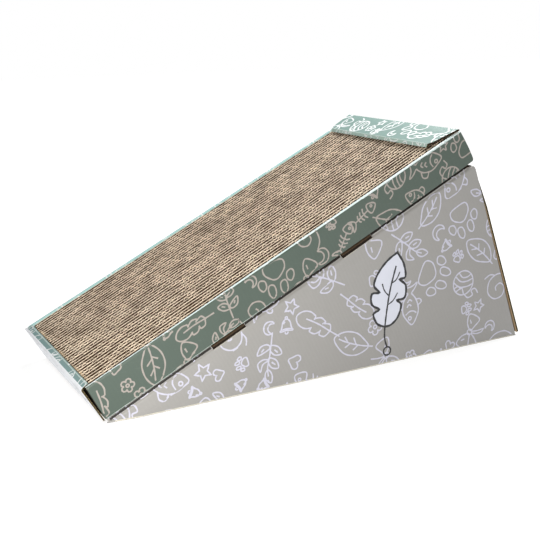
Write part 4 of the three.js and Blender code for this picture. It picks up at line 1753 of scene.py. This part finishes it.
@dataclass
class Pad:
    """The scratch pad: strips of coarse corrugated board on edge, glued face to face."""

    sizes: Sizes
    finishes: Finishes
    count: int = 35
    start: float = 5.5 * MM
    end: float = 457.5 * MM
    half: float = 99.8 * MM
    bottom: float = 2.5 * MM
    top: float = 37.7 * MM
    wave: float = 8.95 * MM
    phase_step: float = 0.09
    phase_spread: float = 0.05
    paper: float = 0.5 * MM
    medium: float = 0.4 * MM
    press: float = 0.12 * MM
    slip: float = 0.22
    crush: float = 0.09
    sink: float = 0.3 * MM
    steps: int = 12

    def _wander(self, chance: random.Random, spread: float) -> Limit:
        """A chance value that changes evenly from one wave to the next.

        Args:
            chance: where the chance numbers come from.
            spread: the largest value to each side of zero.

        Returns:
            The value at a distance along.
        """
        count = int((self.end - self.start) / self.wave) + 3
        marks = [chance.uniform(-spread, spread) for _ in range(count)]

        def value(a: float) -> float:
            """The value at a distance along."""
            share, mark = math.modf((a - self.start) / self.wave)
            return marks[int(mark)] * (1 - share) + marks[int(mark) + 1] * share

        return value

    def strip(self, index: int) -> None:
        """Builds one strip: two flat papers with a wavy one between.

        Args:
            index: the strip's place from the near side.
        """
        chance = random.Random(100 + index)
        pitch = (2 * self.half + self.sizes.gap) / self.count
        near = -self.half + index * pitch - 0.1 * MM
        thick = pitch - 0.1 * MM
        mesher = Mesher()
        phase = 2 * math.pi * (self.phase_step * index + chance.gauss(0.0, self.phase_spread))
        last = index == self.count - 1
        self._flat(mesher, near, phase, chance, 0 if index == 0 else -1)
        self._flat(mesher, near + thick - self.paper, phase, chance, 2 if last else -1)
        self._wavy(mesher, near + thick / 2, (thick - 2 * self.paper - self.medium) / 2, phase, chance)
        number = f"{index + 1:02d}"
        finishes = [self.finishes.strip, self.finishes.medium, self.finishes.liner]
        mesher.make(f"strip_{number}", finishes, "pad", [f"pad_strip_{number}"], "pad_board")

    def _flat(self, mesher: Mesher, near: float, phase: float, chance: random.Random,
              outer: int) -> None:
        """Lays one flat paper, with a slightly ragged cut edge that the waves press aside.

        Args:
            mesher: where its faces go.
            near: the distance across of its near face.
            phase: the wave's angle at the tray's low end.
            chance: the strip's own chance numbers.
            outer: the face that is an outside of the pad, 0 the near one, 2 the far one.
        """
        count = 300
        other = chance.random() * 6.3
        sunk = self._wander(chance, self.sink / 3)
        rows: list[list[Vector]] = [[] for _ in range(4)]
        for k in range(count + 1):
            a = self.start + (self.end - self.start) * k / count
            sway = self.press * math.sin(phase + a * 2 * math.pi / self.wave) * (0 < k < count)
            sway += 0.05 * MM * math.sin(other + a * 90)
            cut = self.top - self.sink / 3 + sunk(a) - chance.random() * 0.1 * MM
            for row, across, up in zip(rows, (near, near, near + self.paper, near + self.paper),
                                       (self.bottom, cut, cut, self.bottom)):
                row.append(self.sizes.tray.at(a, across + sway, up))
        for number, (first, second) in enumerate(zip(rows, rows[1:] + rows[:1])):
            mesher.band(first, second, 2 if number == outer else 0)
        for k in (0, -1):
            mesher.face(mesher.add(row[k] for row in rows), 2)

    def _wavy(self, mesher: Mesher, middle: float, swing: float, phase: float,
              chance: random.Random) -> None:
        """Lays the wavy paper between the flat ones.

        Args:
            mesher: where its faces go.
            middle: the distance across of its middle line.
            swing: how far it swings to each side.
            phase: the wave's angle at the tray's low end.
            chance: the strip's own chance numbers.
        """
        wave = self.wave * chance.uniform(0.998, 1.002)
        count = int((self.end - self.start) / wave * self.steps)
        drift = chance.random() * 6.3
        slip, crush = self._wander(chance, self.slip), self._wander(chance, self.crush)
        sunk = self._wander(chance, self.sink)
        rows: list[list[Vector]] = [[] for _ in range(4)]
        for k in range(count + 1):
            a = self.start + (self.end - self.start) * k / count
            angle = phase + a * 2 * math.pi / wave + 0.3 * math.sin(drift + a * 21) + slip(a)
            reach = swing * (1 - self.crush + crush(a))
            across = middle + reach * math.sin(angle)
            slope = reach * math.cos(angle) * 2 * math.pi / wave
            length = math.hypot(1.0, slope)
            out = Vector((-slope / length, 1.0 / length)) * (self.medium / 2)
            cut = self.top - self.sink + sunk(a) - chance.random() * 0.2 * MM
            for row, hand, up in zip(rows, (-1, -1, 1, 1), (self.bottom, cut, cut, self.bottom)):
                row.append(self.sizes.tray.at(a + out.x * hand, across + out.y * hand, up))
        end = self.steps // 4
        for number, (first, second) in enumerate(zip(rows, rows[1:] + rows[:1])):
            mesher.band(first[end:-end], second[end:-end], 1)
            for part in (slice(None, end + 1), slice(-end - 1, None)):
                mesher.band(first[part], second[part], 1 if number == 1 else 2)
        for k in (0, -1):
            mesher.face(mesher.add(row[k] for row in rows), 2)

    def build(self) -> None:
        """Builds every strip."""
        for index in range(self.count):
            self.strip(index)


# The cover


@dataclass
class Cover:
    """The flap over the pad's high end, and its lip that is folded down onto the pad."""

    sizes: Sizes
    finishes: Finishes
    depth: float = 36 * MM
    taper: float = 7 * MM
    cut_run: float = 5 * MM
    cut: float = 4 * MM
    lip: float = 5 * MM
    lip_shown: float = 3.7 * MM
    lip_angle: float = math.radians(50)
    pad_drop: float = 1.8 * MM
    skin: float = 0.12 * MM

    @property
    def tilt(self) -> float:
        """The flap's small tilt, which stands the lip's foot on the pad."""
        z = self.sizes
        x = -2 * z.gap - self.depth - self.lip * math.cos(self.lip_angle) + z.board * math.sin(self.lip_angle)
        y = z.board - self.lip * math.sin(self.lip_angle) - z.board * math.cos(self.lip_angle)
        return math.asin(-self.pad_drop / math.hypot(x, y)) - math.atan2(y, -x)

    @property
    def frame(self) -> Place:
        """The flap's frame, at its crease."""
        z = self.sizes
        origin = z.tray.at(z.tray_length, 0, z.tray_height + z.gap)
        return z.tray.turned(origin, -self.tilt)

    def lay_flap(self) -> None:
        """Lays the flap, with tapered sides, cut corners and a rounded crease."""
        z = self.sizes
        free = -z.gap - self.depth
        profile = Profile.bent([(free, z.board), (-z.gap, z.board), (-z.gap, 0.2 * MM)],
                               [1.7 * MM], 5)
        board = Board(self.frame, profile, Run.ACROSS, seed=61, flute=Vector((1.0, 0.0)),
                      wave=3.9 * MM, recess=0.9 * MM)
        half = z.half - self.skin

        def reach(s: float) -> float:
            """Half the width of the flap at a distance from its free edge."""
            if s < self.cut_run:
                return half - self.taper - self.cut * (1 - s / self.cut_run)
            return half - self.taper * (1 - min(1.0, (s - self.cut_run) / (self.depth - self.cut_run)))

        board.panel(0.0, self.cut_run, [(lambda s: -reach(s), reach)])
        board.panel(self.cut_run, profile.length, [(lambda s: -reach(s), reach)])
        rows = [0.0, self.cut_run, self.depth - 2 * MM, profile.length]
        board.edge([(reach(s), s) for s in rows])
        board.edge([(-reach(s), s) for s in reversed(rows)])
        board.edge([(-reach(0.0), 0.0), (reach(0.0), 0.0)])
        finishes = self.finishes.board(self.finishes.mint, cut=self.finishes.dark_cut)
        board.mesher.make("flap_board", finishes, "cover",
                          ["cover_flap"], "rim_print")
        press = Press(board, 1.8 * MM, seed=83)
        press.scatter((-half, 6 * MM), (half, self.depth - 4 * MM),
                      sizes=((17 * MM, 22 * MM), (6 * MM, 8 * MM)), tries=500)
        press.line([(-reach(0.0), 0.35 * MM), (reach(0.0), 0.35 * MM)], 0.5 * MM, 1)
        press.make("flap_print", [self.finishes.white_ink, self.finishes.worn_edge], "cover",
                   "rim_print")

    def lay_lip(self) -> None:
        """Lays the lip."""
        z = self.sizes
        flap = self.frame
        origin = flap.at(-2 * z.gap - self.depth, 0, z.board)
        frame = Place(origin, flap.along, flap.up)
        tip = (-self.lip_shown * math.cos(self.lip_angle), -self.lip_shown * math.sin(self.lip_angle))
        profile = Profile.bent([tip, (0.0, 0.0), (0.28 * MM, 0.0)], [0.25 * MM], 4)
        half = z.half - self.taper - self.cut
        board = Board(frame, profile, Run.ACROSS, seed=67, flute=Vector((1.0, 0.0)), wave=3.9 * MM)
        board.panel(0.0, profile.length, [(constant(-half), constant(half))])
        board.edge([(half, 0.0), (half, profile.length)])
        board.edge([(-half, profile.length), (-half, 0.0)])
        board.edge([(-half, 0.0), (half, 0.0)])
        # The lip takes its own lighter copy of the flap's print: painted light.
        board.mesher.make("lip_board", self.finishes.board(self.finishes.lip), "lip",
                          ["cover_lip"], "rim_print")
        press = Press(board, 1.3 * MM, seed=89)
        press.scatter((-half, -10 * MM), (half, 15 * MM), sizes=((17 * MM, 20 * MM), (4 * MM, 5 * MM)),
                      tries=60)
        press.make("lip_print", [self.finishes.white_ink], "lip", "rim_print")

    def build(self) -> None:
        """Builds the flap and the lip."""
        self.lay_flap()
        self.lay_lip()


# The studio


@dataclass(frozen=True)
class Softbox:
    """A square area light."""

    name: str
    place: tuple[float, float, float]
    target: tuple[float, float, float]
    size: float
    power: float
    colour: RGB = (1.0, 1.0, 1.0)

    def build(self) -> None:
        """Makes the light."""
        data = bpy.data.lights.new(self.name, "AREA")
        data.shape, data.size, data.energy, data.color = "SQUARE", self.size, self.power, self.colour
        made = bpy.data.objects.new(self.name, data)
        bpy.context.scene.collection.objects.link(made)
        made.location = self.place
        way = Vector(self.target) - Vector(self.place)
        made.rotation_mode = "QUATERNION"
        made.rotation_quaternion = way.to_track_quat("-Z", "Y")
        made.visible_camera = False


@dataclass
class Studio:
    """The camera at the photograph's viewing angle, the pale floor and the soft light."""

    camera_place: tuple[float, float, float] = (-0.4795, -0.8709, 0.3557)
    azimuth: float = -27.509
    elevation: float = 15.610
    roll: float = -1.079
    focal: float = 918.1
    image: float = 540.0
    shift: Pair = (12.0, 12.0)
    white: float = 1.0
    fill: float = 0.14
    lights: tuple[Softbox, ...] = (
        Softbox("top_box", (0.5, 0.25, 1.05), (0.1, 0.0, 0.15), 0.8, 23.0),
        Softbox("side_box", (-0.50, -0.62, 0.26), (-0.15, -0.05, 0.05), 0.3, 6.75,
                (1.0, 0.975, 0.92)),
    )

    def build(self) -> None:
        """Makes the camera, the world, the floor and the lights."""
        scene = bpy.context.scene
        scene.view_settings.view_transform = "Standard"
        self._camera(scene)
        self._world(scene)
        mesher = Mesher()
        far = 6.0
        lines = [[Vector((x, y, -0.0002)) for x in (-far, 0.0, far)] for y in (-far, 0.0, far)]
        for first, second in zip(lines, lines[1:]):
            mesher.band(first, second, 0, Vector((0, 0, 1)))
        mesh = bpy.data.meshes.new("studio_floor")
        mesh.from_pydata(mesher.points, [], mesher.faces)
        mesh.materials.append(PaleFloor().make())
        floor = bpy.data.objects.new("studio_floor", mesh)
        scene.collection.objects.link(floor)
        floor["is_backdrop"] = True
        for light in self.lights:
            light.build()

    def _camera(self, scene: bpy.types.Scene) -> None:
        """Makes the camera."""
        a, e, r = (math.radians(x) for x in (self.azimuth, self.elevation, self.roll))
        look = Vector((-math.sin(a) * math.cos(e), math.cos(a) * math.cos(e), -math.sin(e)))
        right = look.cross(Vector((0, 0, 1))).normalized()
        up = right.cross(look)
        right, up = (right * math.cos(r) + up * math.sin(r), up * math.cos(r) - right * math.sin(r))
        data = bpy.data.cameras.new("camera")
        data.sensor_width = 36.0
        data.lens = self.focal / self.image * data.sensor_width
        data.shift_x, data.shift_y = (part / self.image for part in self.shift)
        data.clip_start, data.clip_end = 0.01, 50.0
        camera = bpy.data.objects.new("camera", data)
        scene.collection.objects.link(camera)
        turn = Matrix((right, up, -look)).transposed().to_4x4()
        camera.matrix_world = Matrix.Translation(self.camera_place) @ turn
        scene.camera = camera

    def _world(self, scene: bpy.types.Scene) -> None:
        """Makes the surround: white where it shows, and dimmer as the room's soft fill."""
        world = bpy.data.worlds.new("surround")
        world.use_nodes = True
        tree = world.node_tree
        tree.nodes.clear()
        path = tree.nodes.new("ShaderNodeLightPath")
        mixed = tree.nodes.new("ShaderNodeMixShader")
        output = tree.nodes.new("ShaderNodeOutputWorld")
        tree.links.new(path.outputs["Is Camera Ray"], mixed.inputs[0])
        for place, strength in ((1, self.fill), (2, self.white)):
            background = tree.nodes.new("ShaderNodeBackground")
            background.inputs[0].default_value = (1.0, 1.0, 1.0, 1.0)
            background.inputs[1].default_value = strength
            tree.links.new(background.outputs[0], mixed.inputs[place])
        tree.links.new(mixed.outputs[0], output.inputs[0])
        scene.world = world


def corners(box: Iterable[Vector]) -> list[list[float]]:
    """A box's two corners as plain lists."""
    return [list(corner) for corner in box]


def main() -> None:
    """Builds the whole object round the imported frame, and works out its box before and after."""
    logging.basicConfig(level=logging.INFO, format="%(name)s: %(message)s")
    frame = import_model()
    before = corners(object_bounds())
    nodes = frame["nodes"]
    Studio().build()
    finishes = Finishes(SIZES)
    BaseShell(SIZES, finishes).build(nodes)
    BackPanel(SIZES, finishes).build()
    Tray(SIZES, finishes).build(nodes)
    Pad(SIZES, finishes).build()
    Cover(SIZES, finishes).build()
    {"cad": before, "visual": corners(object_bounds())}


if __name__ == "__main__":
    main()
